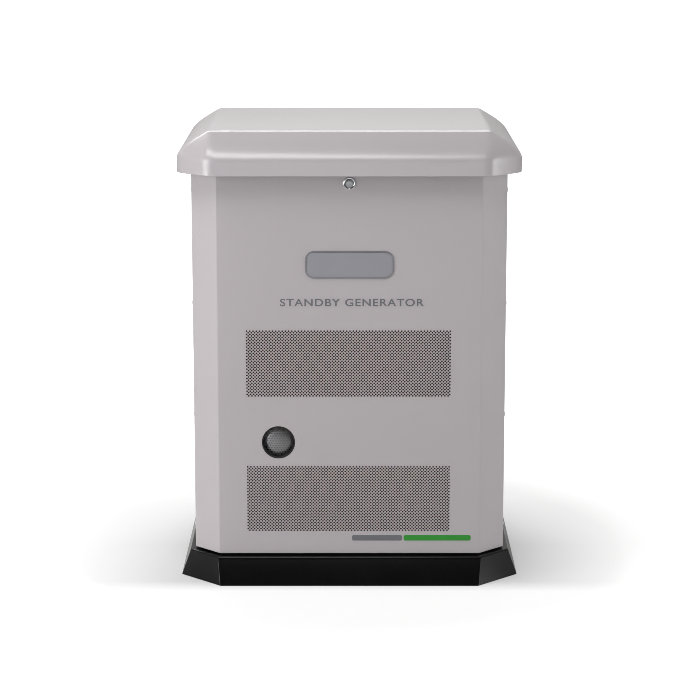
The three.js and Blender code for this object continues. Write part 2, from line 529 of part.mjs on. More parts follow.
// The blower housing covers the flywheel and leads its air down over both cylinders.
function addBlowerHousing() {
  const bottom = COVER_Z - COVER.plate;
  const top = bottom + BLOWER.height;
  const layer = (sheet, low) => {
    const half = DUCT.width / 2 - sheet;
    const ducts = BANKS.map(({ turn }) =>
      block(0, DUCT.end - sheet, -half, half, low, bottom + DUCT.height - sheet).rotateZ(turn));
    return join(disc(BLOWER.radius - sheet, low, top - sheet, 40), ...ducts);
  };
  const shroud = cut(layer(0, bottom), layer(BLOWER.sheet, bottom - 1), disc(BLOWER.inlet, bottom, FAR));
  piece(driveLine, "blower_housing", shroud, "blackSteel");
}

function addStarter() {
  const angle = (STARTER.angle * Math.PI) / 180;
  const body = disc(STARTER.radius, 0, STARTER.length, 28).translate(STARTER.at, 0, 0);
  const noseEnd = STARTER.length + STARTER.noseLength;
  const nose = disc(STARTER.nose, STARTER.length - 1, noseEnd, 24).translate(STARTER.at, 0, 0);
  const lug = block(CRANKCASE.radius + 2, STARTER.at, -18, 18, STARTER.length - 32, STARTER.length - 14);
  const motor = join(body, nose, lug).rotateZ(angle);
  piece(driveLine, "starter_motor", motor, "blackSteel", [0, 0, STARTER.bottom]);
}

function addOilFilter() {
  const end = FILTER.start + FILTER.length;
  const can = bar(FILTER.radius, [FILTER.start, 0, 0], [end - 8, 0, 0], 32);
  const nose = bar(FILTER.radius - 7, [end - 10, 0, 0], [end, 0, 0], 32);
  const filter = join(can, nose).rotateZ((FILTER.angle * Math.PI) / 180);
  piece(driveLine, "oil_filter", filter, "filterPaint", [0, 0, FILTER.z]);
}

function addDipstick() {
  const { low, high, along } = dipstickAxis();
  const on = (from, distance) => from.clone().addScaledVector(along, distance).toArray();
  const blade = bar(DIPSTICK.rod, on(low, 6), on(high, 4), 12);
  const cap = bar(DIPSTICK.grip, on(high, CLEAR), on(high, 12), 20);
  const pull = bar(DIPSTICK.grip / 2, on(high, 11), on(high, 34), 16);
  piece(driveLine, "dipstick", join(blade, cap, pull), "redRubber");
}

// ---------------------------------------------------------------- intake and air cleaner

const MIXER_Z = CRANKCASE_Z + (BANK.leftHeight + BANK.rightHeight) / 2;

function addIntake() {
  const reach = BARREL.end + HEAD.deck / 2;
  const offset = HEAD.fin / 2 + 1;
  const port = ({ turn, side }) => {
    const inward = side === "left" ? 1 : -1;
    const x = reach * Math.cos(turn) - inward * offset * Math.sin(turn);
    const y = reach * Math.sin(turn) + inward * offset * Math.cos(turn);
    return [x, y];
  };
  const [left, right] = BANKS.map(port);
  const knee = INTAKE.y + 8;
  const runner = swept([
    [...left, CRANKCASE_Z + BANK.leftHeight],
    [left[0] + 26, left[1] - 24, CRANKCASE_Z + BANK.leftHeight],
    [0, knee, MIXER_Z],
    [right[0] - 26, right[1] - 24, CRANKCASE_Z + BANK.rightHeight],
    [...right, CRANKCASE_Z + BANK.rightHeight],
  ], INTAKE.radius, 8, 14);
  const upright = (radius, z0, z1, sides) => disc(radius, z0, z1, sides).translate(0, INTAKE.y, 0);
  const body = upright(INTAKE.body, MIXER_Z, INTAKE.top, 28);
  const throat = upright(INTAKE.bore, MIXER_Z + 12, INTAKE.top + 1, 24);
  const shaftLine = (x) => [x, INTAKE.y, INTAKE.shaftZ];
  const shaftHole = bar(INTAKE.shaft + RUNNING, shaftLine(-FAR), shaftLine(INTAKE.bore + 4), 16);
  piece(driveLine, "intake_manifold", cut(join(runner, body), throat, shaftHole), "castAluminium");

  const leverX = -INTAKE.body - 2;
  const shaft = bar(INTAKE.shaft, [leverX - 4, 0, 0], [INTAKE.bore + 2, 0, 0], 16);
  const plate = disc(INTAKE.bore - 1, -1, 1, 24);
  const lever = block(leverX - 4, leverX - 1, -5, 5, -INTAKE.lever, 5);
  piece(driveLine, "throttle_lever", join(shaft, plate, lever), "zincSteel", [0, INTAKE.y, INTAKE.shaftZ]);
}

function addAirCleaner() {
  const half = AIRBOX.width / 2;
  const back = -BLOWER.radius - AIRBOX.gap;
  const front = back - AIRBOX.depth;
  const z0 = INTAKE.top + 2;
  const split = z0 + AIRBOX.tray;
  const wall = AIRBOX.wall;
  const open = (low, high, grow) =>
    block(-half + wall + grow, half - wall - grow, front + wall + grow, back - wall - grow, low, high);
  const throat = disc(INTAKE.bore, z0 - 1, z0 + wall + 1, 24).translate(0, INTAKE.y, 0);
  const tray = cut(block(-half, half, front, back, z0, split), open(z0 + wall, split + 1, 0), throat);
  piece(driveLine, "air_cleaner_housing", tray, "blackPlastic");
  const filterZ = z0 + wall + 4;
  piece(driveLine, "air_filter", open(filterZ, filterZ + AIRBOX.filter, 3), "filterPaper");
  const capZ = split + CLEAR;
  const capTop = capZ + AIRBOX.cap;
  const cap = cut(block(-half, half, front, back, capZ, capTop), open(capZ - 1, capTop - wall, 0));
  piece(driveLine, "air_cleaner_cover", cap, "blackPlastic");
}

// ---------------------------------------------------------------- exhaust

const MUFFLER_FRONT = -HALF_DEPTH + MUFFLER.front;
const MUFFLER_TOP = MUFFLER.bottom + MUFFLER.height;

function addMuffler() {
  const { x, width, height, round, bottom } = MUFFLER;
  const w = width / 2 - round;
  const h = height / 2 - round;
  const shape = new THREE.Shape();
  shape.absarc(w, h, round, 0, Math.PI / 2);
  shape.absarc(-w, h, round, Math.PI / 2, Math.PI);
  shape.absarc(-w, -h, round, Math.PI, 1.5 * Math.PI);
  shape.absarc(w, -h, round, 1.5 * Math.PI, 2 * Math.PI);
  const settings = { depth: MUFFLER.depth, bevelEnabled: false, curveSegments: 6 };
  const can = new THREE.ExtrudeGeometry(shape, settings);
  can.rotateX(Math.PI / 2).translate(0, MUFFLER.depth, 0);
  piece(generator, "muffler", can, "hotSteel", [x, MUFFLER_FRONT, bottom + height / 2]);

  const mouth = FRONT_INNER + CLEAR;
  const along = (radius, y0, y1) => bar(radius, [0, y0, 0], [0, y1, 0], 40);
  const pipe = join(
    along(OUTLET.pipe, mouth, MUFFLER_FRONT - CLEAR),
    along(OUTLET.flange, mouth, mouth + OUTLET.flangeThick),
  );
  const bore = along(OUTLET.pipe - OUTLET.wall, -FAR, FAR);
  piece(generator, "muffler_outlet_pipe", cut(pipe, bore), "hotSteel", [OUTLET.x, 0, OUTLET.z]);

  const rim = OUTLET.pipe - OUTLET.wall - CLEAR;
  const arch = (grow) => [1, 0.7, 0.35, 0].map((t) => [rim * t, grow + DOME.rise * (1 - t * t)]);
  const dome = turned([...arch(0).reverse(), ...arch(OUTLET.wall)], 32).rotateX(Math.PI / 2);
  piece(generator, "outlet_screen", dome, "hotSteel", [OUTLET.x, mouth + DOME.rise + DOME.sink, OUTLET.z]);
}

// One welded pipe gathers both cylinders' exhaust and drops into the top of the muffler.
function addExhaustPipe() {
  const ports = BANKS.map(({ turn, z }) => {
    const r = BARREL.end + HEAD.deck / 2;
    const under = CRANKCASE_Z + z - HEAD.fin / 2 - EXHAUST.gap;
    return [SHAFT.x + r * Math.cos(turn), SHAFT.y + r * Math.sin(turn), under];
  });
  const [left, right] = ports;
  const run = EXHAUST.run;
  const frontY = SHAFT.y - ALTERNATOR.radius - 60;
  const main = swept([
    right,
    [right[0], right[1], right[2] - 12],
    [right[0] - 30, frontY, run],
    [SHAFT.x, frontY, run],
    [left[0] - 20, frontY + 8, run - 3],
    [MUFFLER.x + 30, MUFFLER_FRONT + 95, run - 10],
    [MUFFLER.x, MUFFLER_FRONT + 115, MUFFLER_TOP + 16],
    [MUFFLER.x, MUFFLER_FRONT + 115, MUFFLER_TOP + EXHAUST.gap],
  ], EXHAUST.radius, 8, 28);
  const joinAt = [left[0] - 22, frontY + 8, run - 2];
  const branch = swept([left, [left[0], left[1], left[2] - 7], joinAt], EXHAUST.radius - 1, 8, 6);
  piece(generator, "exhaust_pipe", join(main, branch), "hotSteel");
}

// ---------------------------------------------------------------- battery and cables

const POST_X = BATTERY.width / 2 - POST.fromSide;
const POST_Y = BATTERY.depth / 2 - POST.fromEnd;
const BATTERY_POSTS = { positive: [POST_X, POST_Y], negative: [POST_X, -POST_Y] };

function addBattery() {
  const x = BATTERY.width / 2;
  const y = BATTERY.depth / 2;
  const lidZ = BATTERY.height - BATTERY.lid;
  const step = BATTERY.step;
  const box = block(-x + step, x - step, -y + step, y - step, 0, lidZ + 1);
  const lid = block(-x, x, -y, y, lidZ, BATTERY.height);
  const posts = Object.values(BATTERY_POSTS).map(([px, py]) =>
    disc(POST.radius, BATTERY.height - 1, BATTERY.height + POST.height, 20).translate(px, py, 0));
  const at = [BATTERY_AT.x, BATTERY_AT.y, FLOOR_Z];
  piece(generator, "battery", join(box, lid, ...posts), "blackPlastic", at);
}

// A clamp ring round the post, with the cable leaving from its side.
function batteryCable(pole, route) {
  const [px, py] = BATTERY_POSTS[pole];
  const x = BATTERY_AT.x + px;
  const y = BATTERY_AT.y + py;
  const z = FLOOR_Z + BATTERY.height + 2;
  const ring = disc(CABLE.clamp, z, z + CABLE.clampHeight, 20).translate(x, y, 0);
  const hole = disc(POST.radius + CLEAR, z - 1, z + CABLE.clampHeight + 1, 20).translate(x, y, 0);
  const middle = z + CABLE.clampHeight / 2;
  const clampEnd = x + CABLE.clamp;
  const lead = [[clampEnd - 3, y, middle], [clampEnd + 12, y, middle + 2]];
  const cable = swept([...lead, ...route], CABLE.radius, 6, 20);
  return cut(join(ring, cable), hole);
}

function addBatteryCables() {
  const starterTurn = (STARTER.angle * Math.PI) / 180;
  const starterX = SHAFT.x + STARTER.at * Math.cos(starterTurn);
  const starterY = SHAFT.y + STARTER.at * Math.sin(starterTurn);
  const positive = batteryCable("positive", [
    [-80, 228, 320],
    [20, 232, 372],
    [100, 218, 410],
    [starterX - 6, starterY + 50, 438],
    [starterX, starterY + 2, STARTER.bottom - 30],
    [starterX, starterY, STARTER.bottom - 2],
  ]);
  piece(generator, "battery_cable_positive", positive, "redRubber");
  const earthTurn = (160 * Math.PI) / 180;
  const earth = (r, z) => [SHAFT.x + r * Math.cos(earthTurn), SHAFT.y + r * Math.sin(earthTurn), z];
  const route = [earth(ALTERNATOR.radius + 26, 300), earth(ALTERNATOR.radius + 1, 304)];
  const negative = batteryCable("negative", route);
  piece(generator, "battery_cable_negative", negative, "rubber");
}

// ---------------------------------------------------------------- gas train

function addGasTrain() {
  const { x, y, z, radius, depth, rim, neck } = REGULATOR;
  const along = (r, y0, y1, sides = 20) => bar(r, [0, y0, 0], [0, y1, 0], sides);
  const half = depth / 2;
  const body = join(
    along(radius, -rim / 2, rim / 2, 24),
    along(radius - 14, -half, half),
    along(radius - 32, -half, half + 8),
    bar(neck, [0, 0, 0], [0, 0, radius + 12], 20),
  );
  piece(generator, "gas_regulator", body, "castAluminium", [x, y, z]);

  const inner = y + half + 8 + CLEAR;
  const outer = HALF_DEPTH + GAS.stick;
  const pipe = cut(along(GAS.pipe, inner - y, outer - y), along(GAS.bore, inner - y + 4, FAR));
  piece(generator, "gas_inlet_pipe", pipe, "forgedSteel", [x, y, z]);

  const mixerX = SHAFT.x + INTAKE.body + 1;
  const mixerY = SHAFT.y + INTAKE.y;
  const hose = swept([
    [x, y, z + radius + 13],
    [x, y, z + radius + 40],
    [262, 180, 350],
    [296, 90, 430],
    [303, -40, 505],
    [298, -130, 555],
    [262, -212, 578],
    [200, -238, 576],
    [mixerX + 55, mixerY - 20, 560],
    [mixerX + 24, mixerY, 553],
    [mixerX, mixerY, 552],
  ], GAS.hose, 8, 34);
  piece(generator, "gas_hose", hose, "rubber");
}

// ---------------------------------------------------------------- controls

function addControls() {
  const desk = new THREE.Group();
  desk.position.set(-HALF_WIDTH + CONTROL.wallGap + CONTROL.width / 2, CONTROL.y, CONTROL.top);
  generator.add(desk);
  const x = CONTROL.width / 2;
  const y = CONTROL.depth / 2;
  const sheet = CONTROL.sheet;
  const inside = block(-x + sheet, x - sheet, -y + sheet, y - sheet, -CONTROL.height + sheet, 1);
  piece(desk, "control_box", cut(block(-x, x, -y, y, -CONTROL.height, 0), inside), "zincSteel");

  const slack = FASCIA.slack;
  const plateTop = CLEAR + FASCIA.plate;
  const opening = (spec, grow) => {
    const halfX = spec.width / 2 + grow;
    const halfY = spec.depth / 2 + grow;
    return (z0, z1) => block(-halfX, halfX, spec.y - halfY, spec.y + halfY, z0, z1);
  };
  const plate = block(-x, x, -y, y, CLEAR, plateTop);
  const holes = [opening(CONTROLLER, slack)(-1, FAR), opening(BREAKER, slack)(-1, FAR)];
  piece(desk, "control_panel", cut(plate, ...holes), "blackSteel");

  const flangeZ = plateTop + CLEAR;
  const faceZ = flangeZ + CONTROLLER.flangeThick;
  const flange = opening(CONTROLLER, CONTROLLER.flange)(flangeZ, faceZ);
  const module = opening(CONTROLLER, 0)(-CONTROLLER.body, flangeZ + 1);
  const glass = opening({ ...DISPLAY, y: CONTROLLER.y + DISPLAY.y }, 0)(faceZ - DISPLAY.sink, FAR);
  const keys = { button_auto: ["greenKey", -1], button_run: ["greyKey", 0], button_off: ["redKey", 1] };
  const keyY = CONTROLLER.y + BUTTON.y;
  const wells = Object.values(keys).map(([, place]) =>
    disc(BUTTON.radius + RUNNING, faceZ - BUTTON.well, FAR, 24).translate(place * BUTTON.pitch, keyY, 0));
  piece(desk, "controller", cut(join(flange, module), glass, ...wells), "controlGrey");
  for (const [name, [finish, place]] of Object.entries(keys)) {
    const z = faceZ + BUTTON.proud - BUTTON.height;
    piece(desk, name, disc(BUTTON.radius, 0, BUTTON.height, 24), finish, [place * BUTTON.pitch, keyY, z]);
  }

  const bossTop = plateTop + BREAKER.boss;
  const body = opening(BREAKER, 0)(-BREAKER.height, bossTop);
  const slotSize = { width: BREAKER.slotWidth, depth: BREAKER.slotDepth, y: BREAKER.y };
  const slot = opening(slotSize, 0)(bossTop - 2 * TOGGLE.sink, FAR);
  piece(desk, "circuit_breaker", cut(body, slot), "blackPlastic");
  const half = TOGGLE.width / 2;
  const barrel = bar(TOGGLE.barrel, [-half, 0, 0], [half, 0, 0], 24);
  const lever = block(-half, half, -TOGGLE.thick / 2, TOGGLE.thick / 2, 0, TOGGLE.lever);
  const toggle = join(barrel, lever).rotateX((-TOGGLE.tilt * Math.PI) / 180);
  piece(desk, "breaker_handle", toggle, "controlGrey", [0, BREAKER.y, bossTop - TOGGLE.sink]);
}

addBase();
addPanels();
addTopFrame();
addLid();
addHinge();
addLock();
addMounting();
addAlternator();
addCrankshaft();
addCrankcase();
addHeads();
addFlywheel();
addBlowerHousing();
addStarter();
addOilFilter();
addDipstick();
addIntake();
addAirCleaner();
addMuffler();
addExhaustPipe();
addBattery();
addBatteryCables();
addGasTrain();
addControls();

export default generator;
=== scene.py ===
"""The looks of a home standby generator, built round its packed frame."""

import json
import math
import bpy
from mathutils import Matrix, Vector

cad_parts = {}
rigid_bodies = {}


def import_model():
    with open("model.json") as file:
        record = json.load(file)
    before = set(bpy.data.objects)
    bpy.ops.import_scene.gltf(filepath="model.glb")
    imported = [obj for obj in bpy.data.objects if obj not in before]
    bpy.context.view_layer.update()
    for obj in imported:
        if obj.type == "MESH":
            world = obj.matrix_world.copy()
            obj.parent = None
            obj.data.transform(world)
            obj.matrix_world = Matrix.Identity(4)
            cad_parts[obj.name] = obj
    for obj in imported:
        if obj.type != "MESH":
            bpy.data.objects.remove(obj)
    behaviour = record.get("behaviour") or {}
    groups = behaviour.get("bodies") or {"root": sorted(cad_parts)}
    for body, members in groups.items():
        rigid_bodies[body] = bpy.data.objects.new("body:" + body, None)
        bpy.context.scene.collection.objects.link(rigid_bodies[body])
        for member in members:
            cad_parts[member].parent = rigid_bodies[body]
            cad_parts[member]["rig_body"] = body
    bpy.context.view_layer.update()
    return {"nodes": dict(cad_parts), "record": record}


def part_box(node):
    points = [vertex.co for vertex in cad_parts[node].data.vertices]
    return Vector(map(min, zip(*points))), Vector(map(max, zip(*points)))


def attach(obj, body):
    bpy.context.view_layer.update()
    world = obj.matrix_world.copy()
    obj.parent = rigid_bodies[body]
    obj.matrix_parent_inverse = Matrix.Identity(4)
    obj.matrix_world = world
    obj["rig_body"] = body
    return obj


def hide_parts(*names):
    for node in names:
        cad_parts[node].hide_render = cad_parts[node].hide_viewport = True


bl_info = {
    "name": "Standby Generator Looks",
    "version": (1, 0, 0),
    "blender": (4, 5, 0),
    "location": "View3D > Sidebar > Generator",
    "description": "Builds the case, lid, base, vents and finishes of a home standby generator",
    "category": "Object",
}

import bmesh
import bpy
from mathutils import Matrix, Vector

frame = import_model()

# ---------------------------------------------------------------- places taken from the frame

FRONT_LOW, FRONT_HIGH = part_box("front_panel")
SIDE_LOW, SIDE_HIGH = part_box("right_panel")
LID_LOW, LID_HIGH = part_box("lid")
BASE_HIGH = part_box("base_pad")[1]
SHEET = SIDE_HIGH.x - SIDE_LOW.x
HALF_WIDTH = FRONT_HIGH.x
HALF_DEPTH = -FRONT_LOW.y

VENT_MARGIN = 0.0012  # solid edge round the outermost holes of a vent field
LAP = 0.00003  # how far a vent field runs into the sheet round it
GAP = 0.0003  # clearance between a piece and its neighbour
FOAM_SHEET = 0.006


def centre_of(node):
    low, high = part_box(node)
    return (low + high) / 2


# ---------------------------------------------------------------- settings


def metres(name, description, default):
    return bpy.props.FloatProperty(name=name, description=description, default=default, unit="LENGTH")


def fraction(name, description, default):
    return bpy.props.FloatProperty(name=name, description=description, default=default, subtype="FACTOR")


def number(name, description, default):
    return bpy.props.IntProperty(name=name, description=description, default=default)


def colour(name, description, default):
    return bpy.props.FloatVectorProperty(name=name, description=description, default=default, subtype="COLOR")


class CaseSettings(bpy.types.PropertyGroup):
    """Sizes of the sheet metal case"""

    corner: metres("Corner", "Width of the 45 degree corner face in plan", 0.054)
    bend: metres("Bend radius", "Outer radius of each bend in the sheet", 0.004)
    outlet_radius: metres("Outlet radius", "Radius of the exhaust hole", 0.035)
    lock_radius: metres("Lock hole radius", "Radius of the hole for the lock", 0.0098)
    gas_radius: metres("Gas hole radius", "Radius of the hole for the gas pipe", 0.014)
    conduit_radius: metres("Conduit hole radius", "Radius of the hole for the conduit", 0.0175)
    conduit_x: metres("Conduit X", "Place of the conduit hole", 0.090)
    conduit_z: metres("Conduit Z", "Height of the conduit hole", 0.200)


class VentSettings(bpy.types.PropertyGroup):
    """Sizes of the punched vents"""

    hole: metres("Hole", "Diameter of a punched hole", 0.00397)
    pitch: metres("Pitch", "Spacing along a row; rows are half of it apart", 0.006735)
    columns: number("Columns", "Holes in a long row", 64)
    rows: number("Row pairs", "Pairs of a long and a short row", 21)
    side_columns: number("Side columns", "Columns on a side panel", 44)
    upper_z: metres("Upper height", "Height of the upper field's middle", 0.47415)
    lower_z: metres("Lower height", "Height of the lower field's middle", 0.18285)
    shift: metres("Shift", "Distance of the front fields from the middle", -0.002)


class LidSettings(bpy.types.PropertyGroup):
    """Sizes of the moulded lid"""

    corner: metres("Corner", "Width of the skirt's corner face in plan", 0.064)
    skirt: metres("Skirt", "Height of the upright skirt", 0.0480)
    slope_x: metres("Side slope", "Width of the sloping side", 0.066)
    slope_y: metres("Front slope", "Width of the sloping front", 0.070)
    wall: metres("Wall", "Thickness of the moulding", 0.0035)
    shoulder: fraction("Shoulder", "Share of the skirt that rounds into the slope", 0.42)
    brow: fraction("Brow", "Share of the slope that rounds into the skirt", 0.68)
    crease: fraction("Crease", "Share of the slope that rounds into the top", 0.10)


class BaseSettings(bpy.types.PropertyGroup):
    """Sizes of the black base"""

    rim_height: metres("Rim height", "Height of the outer rim", 0.0587)
    rim_out: metres("Rim", "How far the rim stands out of the case", 0.0105)
    foot_corner: metres("Foot corner", "Corner width at the ground", 0.087)
    rim_corner: metres("Rim corner", "Corner width at the rim", 0.061)


class MarkSettings(bpy.types.PropertyGroup):
    """Plain nameplate, lettering and stripe on the front"""

    plate_z: metres("Plate height", "Height of the plate's middle", 0.6835)
    plate_width: metres("Plate width", "Width of the plate", 0.185)
    plate_depth: metres("Plate size", "Upright size of the plate", 0.058)
    words_z: metres("Words height", "Height of the words' middle", 0.604)
    words_width: metres("Words width", "Width of the words", 0.299)
    words_tall: metres("Letters", "Height of a letter", 0.0160)
    stripe_z: metres("Stripe height", "Height of the stripe's middle", 0.0972)
    stripe_tall: metres("Stripe size", "Upright size of the stripe", 0.0120)


class FinishSettings(bpy.types.PropertyGroup):
    """Colours of the main finishes"""

    panel: colour("Panel paint", "Powder coat", (0.408, 0.380, 0.390))
    lid: colour("Lid", "Moulded lid", (0.405, 0.379, 0.392))
    base: colour("Base", "Black moulding", (0.0022, 0.0021, 0.0022))
    accent: colour("Accent", "Green stripe", (0.010, 0.235, 0.012))


class StageSettings(bpy.types.PropertyGroup):
    """Camera"""

    distance: metres("Distance", "Camera to the front panel", 4.8857)
    height: metres("Height", "Camera above the floor", 1.49345)
    pitch: bpy.props.FloatProperty(
        name="Pitch", description="Camera tilt below level", default=math.radians(11.456), subtype="ANGLE"
    )
    lens: bpy.props.FloatProperty(name="Lens", description="Focal length in millimetres", default=122.9)


# ---------------------------------------------------------------- mesh helpers


def link(name, mesh):
    piece = bpy.data.objects.new(name, mesh)
    bpy.context.scene.collection.objects.link(piece)
    return piece


def plain_mesh(piece, name):
    """The evaluated object as a mesh of its own, with the object removed."""
    bpy.context.view_layer.update()
    graph = bpy.context.evaluated_depsgraph_get()
    mesh = bpy.data.meshes.new_from_object(piece.evaluated_get(graph), depsgraph=graph)
    mesh.name = name
    bpy.data.objects.remove(piece)
    return mesh


def smooth(mesh, angle=30):
    mesh.shade_smooth()
    mesh.set_sharp_from_angle(angle=math.radians(angle))


def face_out(mesh):
    """Merges doubles, turns every face outwards and keeps the mesh closed."""
    work = bmesh.new()
    work.from_mesh(mesh)
    bmesh.ops.remove_doubles(work, verts=work.verts, dist=1e-6)
    bmesh.ops.recalc_face_normals(work, faces=work.faces)
    work.to_mesh(mesh)
    work.free()


def place(mesh, name, body, material, matrix=None, angle=30):
    """A finished piece: its place in its mesh, its object at the origin, riding on its body."""
    if matrix is not None:
        mesh.transform(matrix)
    mesh.name = name
    mesh.materials.clear()
    mesh.materials.append(MATERIALS[material])
    smooth(mesh, angle)
    piece = link(name, mesh)
    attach(piece, body)
    return piece


def bevelled(mesh, width, segments=2, angle=35):
    """The mesh with its sharp edges rounded and its flat faces kept flat in the light."""
    piece = link("work", mesh)
    bevel = piece.modifiers.new("bevel", "BEVEL")
    bevel.width = width
    bevel.segments = segments
    bevel.limit_method = "ANGLE"
    bevel.angle_limit = math.radians(angle)
    bevel.use_clamp_overlap = True
    bevel.harden_normals = False
    return plain_mesh(piece, mesh.name)


def block_mesh(low, high):
    mesh = bpy.data.meshes.new("block")
    work = bmesh.new()
    bmesh.ops.create_cube(work, size=1)
    size = Vector(high) - Vector(low)
    middle = (Vector(high) + Vector(low)) / 2
    work.transform(Matrix.Translation(middle) @ Matrix.Diagonal((*size, 1)))
    work.to_mesh(mesh)
    work.free()
    return mesh


def joined(meshes):
    work = bmesh.new()
    for mesh in meshes:
        work.from_mesh(mesh)
    made = bpy.data.meshes.new("joined")
    work.to_mesh(made)
    work.free()
    return made


def circle_points(radius, centre, count=48):
    steps = [2 * math.pi * i / count for i in range(count)]
    return [(centre[0] + radius * math.cos(a), centre[1] + radius * math.sin(a)) for a in steps]


def rectangle_points(low, high):
    return [(low[0], low[1]), (high[0], low[1]), (high[0], high[1]), (low[0], high[1])]


def flat_sheet(outline, holes, thickness):
    """A flat plate in XY, from z 0 to its thickness, with its holes cut through."""
    curve = bpy.data.curves.new("outline", "CURVE")
    curve.dimensions = "2D"
    curve.fill_mode = "BOTH"
    curve.extrude = thickness / 2
    for points in [outline, *holes]:
        spline = curve.splines.new("POLY")
        spline.points.add(len(points) - 1)
        for point, (x, y) in zip(spline.points, points):
            point.co = (x, y, 0, 1)
        spline.use_cyclic_u = True
    mesh = plain_mesh(link("outline", curve), "sheet")
    mesh.transform(Matrix.Translation((0, 0, thickness / 2)))
    face_out(mesh)
    return mesh


WALL_BASE = Matrix(((1, 0, 0, 0), (0, 0, -1, 0), (0, 1, 0, 0), (0, 0, 0, 1)))


def wall_matrix(turn, reach):
    """Takes XY to an upright wall whose inner face is at reach, turned round Z from the front."""
    return Matrix.Rotation(math.radians(turn), 4, "Z") @ Matrix.Translation((0, -reach, 0)) @ WALL_BASE


# ---------------------------------------------------------------- node trees for shapes


class Tree:
    """A small hand for laying out nodes and links."""

    def __init__(self, tree):
        self.tree = tree

    def add(self, kind, values=None, **settings):
        node = self.tree.nodes.new(kind)
        for name, value in settings.items():
            setattr(node, name, value)
        for name, value in (values or {}).items():
            socket = node.inputs[name]
            if isinstance(value, bpy.types.NodeSocket):
                self.tree.links.new(value, socket)
            else:
                socket.default_value = value
        return node

    def math(self, operation, a, b=0.0):
        return self.add("ShaderNodeMath", {0: a, 1: b}, operation=operation).outputs[0]

    def times(self, a, b):
        return self.math("MULTIPLY", a, b)

    def plus(self, a, b):
        return self.math("ADD", a, b)

    def minus(self, a, b):
        return self.math("SUBTRACT", a, b)

    def vector(self, x=0.0, y=0.0, z=0.0):
        return self.add("ShaderNodeCombineXYZ", {"X": x, "Y": y, "Z": z}).outputs[0]

    def join(self, *geometries):
        node = self.add("GeometryNodeJoinGeometry")
        for geometry in reversed(geometries):
            self.tree.links.new(geometry, node.inputs[0])
        return node.outputs[0]


def shape_tree(name, inputs):
    tree = bpy.data.node_groups.new(name, "GeometryNodeTree")
    tree.interface.new_socket("Geometry", in_out="OUTPUT", socket_type="NodeSocketGeometry")
    for label, kind in inputs:
        tree.interface.new_socket(label, in_out="INPUT", socket_type="NodeSocket" + kind)
    hand = Tree(tree)
    given = tree.nodes.new("NodeGroupInput").outputs
    result = tree.nodes.new("NodeGroupOutput").inputs[0]
    return hand, given, result


def finish_tree(hand, geometry, material, result):
    """Every tree ends the same way: real geometry, then its material."""
    real = hand.add("GeometryNodeRealizeInstances", {"Geometry": geometry}).outputs[0]
    painted = hand.add("GeometryNodeSetMaterial", {"Geometry": real, "Material": material}).outputs[0]
    hand.tree.links.new(painted, result)
    return hand.tree


def run_tree(tree, values):
    """Runs a shape tree with the values given by input name, and returns a plain mesh."""
    piece = link("work", bpy.data.meshes.new("work"))
    modifier = piece.modifiers.new("shape", "NODES")
    modifier.node_group = tree
    for item in tree.interface.items_tree:
        if item.in_out == "INPUT" and item.name in values:
            modifier[item.identifier] = values[item.name]
    mesh = plain_mesh(piece, tree.name)
    face_out(mesh)
    return mesh


def staggered_points(hand, columns, pairs, pitch, row):
    """Two grids of points, the second set half a pitch over and one row down."""
    wide = hand.times(hand.minus(columns, 1), pitch)
    tall = hand.times(hand.minus(pairs, 1), hand.times(row, 2.0))
    fewer = hand.minus(columns, 1)
    narrow = hand.minus(wide, pitch)
    half_row = hand.times(row, 0.5)
    grids = []
    for size, count, shift in ((wide, columns, 1), (narrow, fewer, -1)):
        grid = hand.add(
            "GeometryNodeMeshGrid", {"Size X": size, "Size Y": tall, "Vertices X": count, "Vertices Y": pairs}
        ).outputs[0]
        offset = hand.vector(y=hand.times(half_row, shift))
        grids.append(hand.add("GeometryNodeTransform", {"Geometry": grid, "Translation": offset}).outputs[0])
    return hand.join(*grids)


def punched(hand, outline, points, radius, sides, thickness):
    """A sheet of the outline with a round hole at every point."""
    hole = hand.add("GeometryNodeCurvePrimitiveCircle", {"Resolution": sides, "Radius": radius}).outputs[0]
    spread = hand.add("GeometryNodeInstanceOnPoints", {"Points": points, "Instance": hole}).outputs[0]
    holes = hand.add("GeometryNodeRealizeInstances", {"Geometry": spread}).outputs[0]
    filled = hand.add("GeometryNodeFillCurve", {"Curve": hand.join(outline, holes)})
    face = filled.outputs[0]
    up = hand.vector(z=thickness)
    lifted = hand.add(
        "GeometryNodeExtrudeMesh", {"Mesh": face, "Offset": up, "Offset Scale": 1.0, "Individual": False}
    )
    back = hand.add("GeometryNodeFlipFaces", {"Mesh": face}).outputs[0]
    both = hand.join(lifted.outputs[0], back)
    return hand.add("GeometryNodeMergeByDistance", {"Geometry": both, "Distance": 1e-6}).outputs[0]


def vent_tree():
    inputs = [
        ("Columns", "Int"), ("Row Pairs", "Int"), ("Pitch", "Float"), ("Hole Radius", "Float"),
        ("Margin", "Float"), ("Thickness", "Float"), ("Material", "Material"),
    ]
    hand, given, result = shape_tree("punched_vent", inputs)
    points = staggered_points(
        hand, given["Columns"], given["Row Pairs"], given["Pitch"], hand.times(given["Pitch"], 0.5)
    )
    across = hand.times(hand.minus(given["Columns"], 1), given["Pitch"])
    rows = hand.minus(given["Row Pairs"], 0.5)
    down = hand.times(rows, given["Pitch"])
    edge = hand.times(hand.plus(given["Hole Radius"], given["Margin"]), 2.0)
    outline = hand.add(
        "GeometryNodeCurvePrimitiveQuadrilateral",
        {"Width": hand.plus(across, edge), "Height": hand.plus(down, edge)},
    ).outputs[0]
    sheet = punched(hand, outline, points, given["Hole Radius"], 8, given["Thickness"])
    return finish_tree(hand, sheet, given["Material"], result)


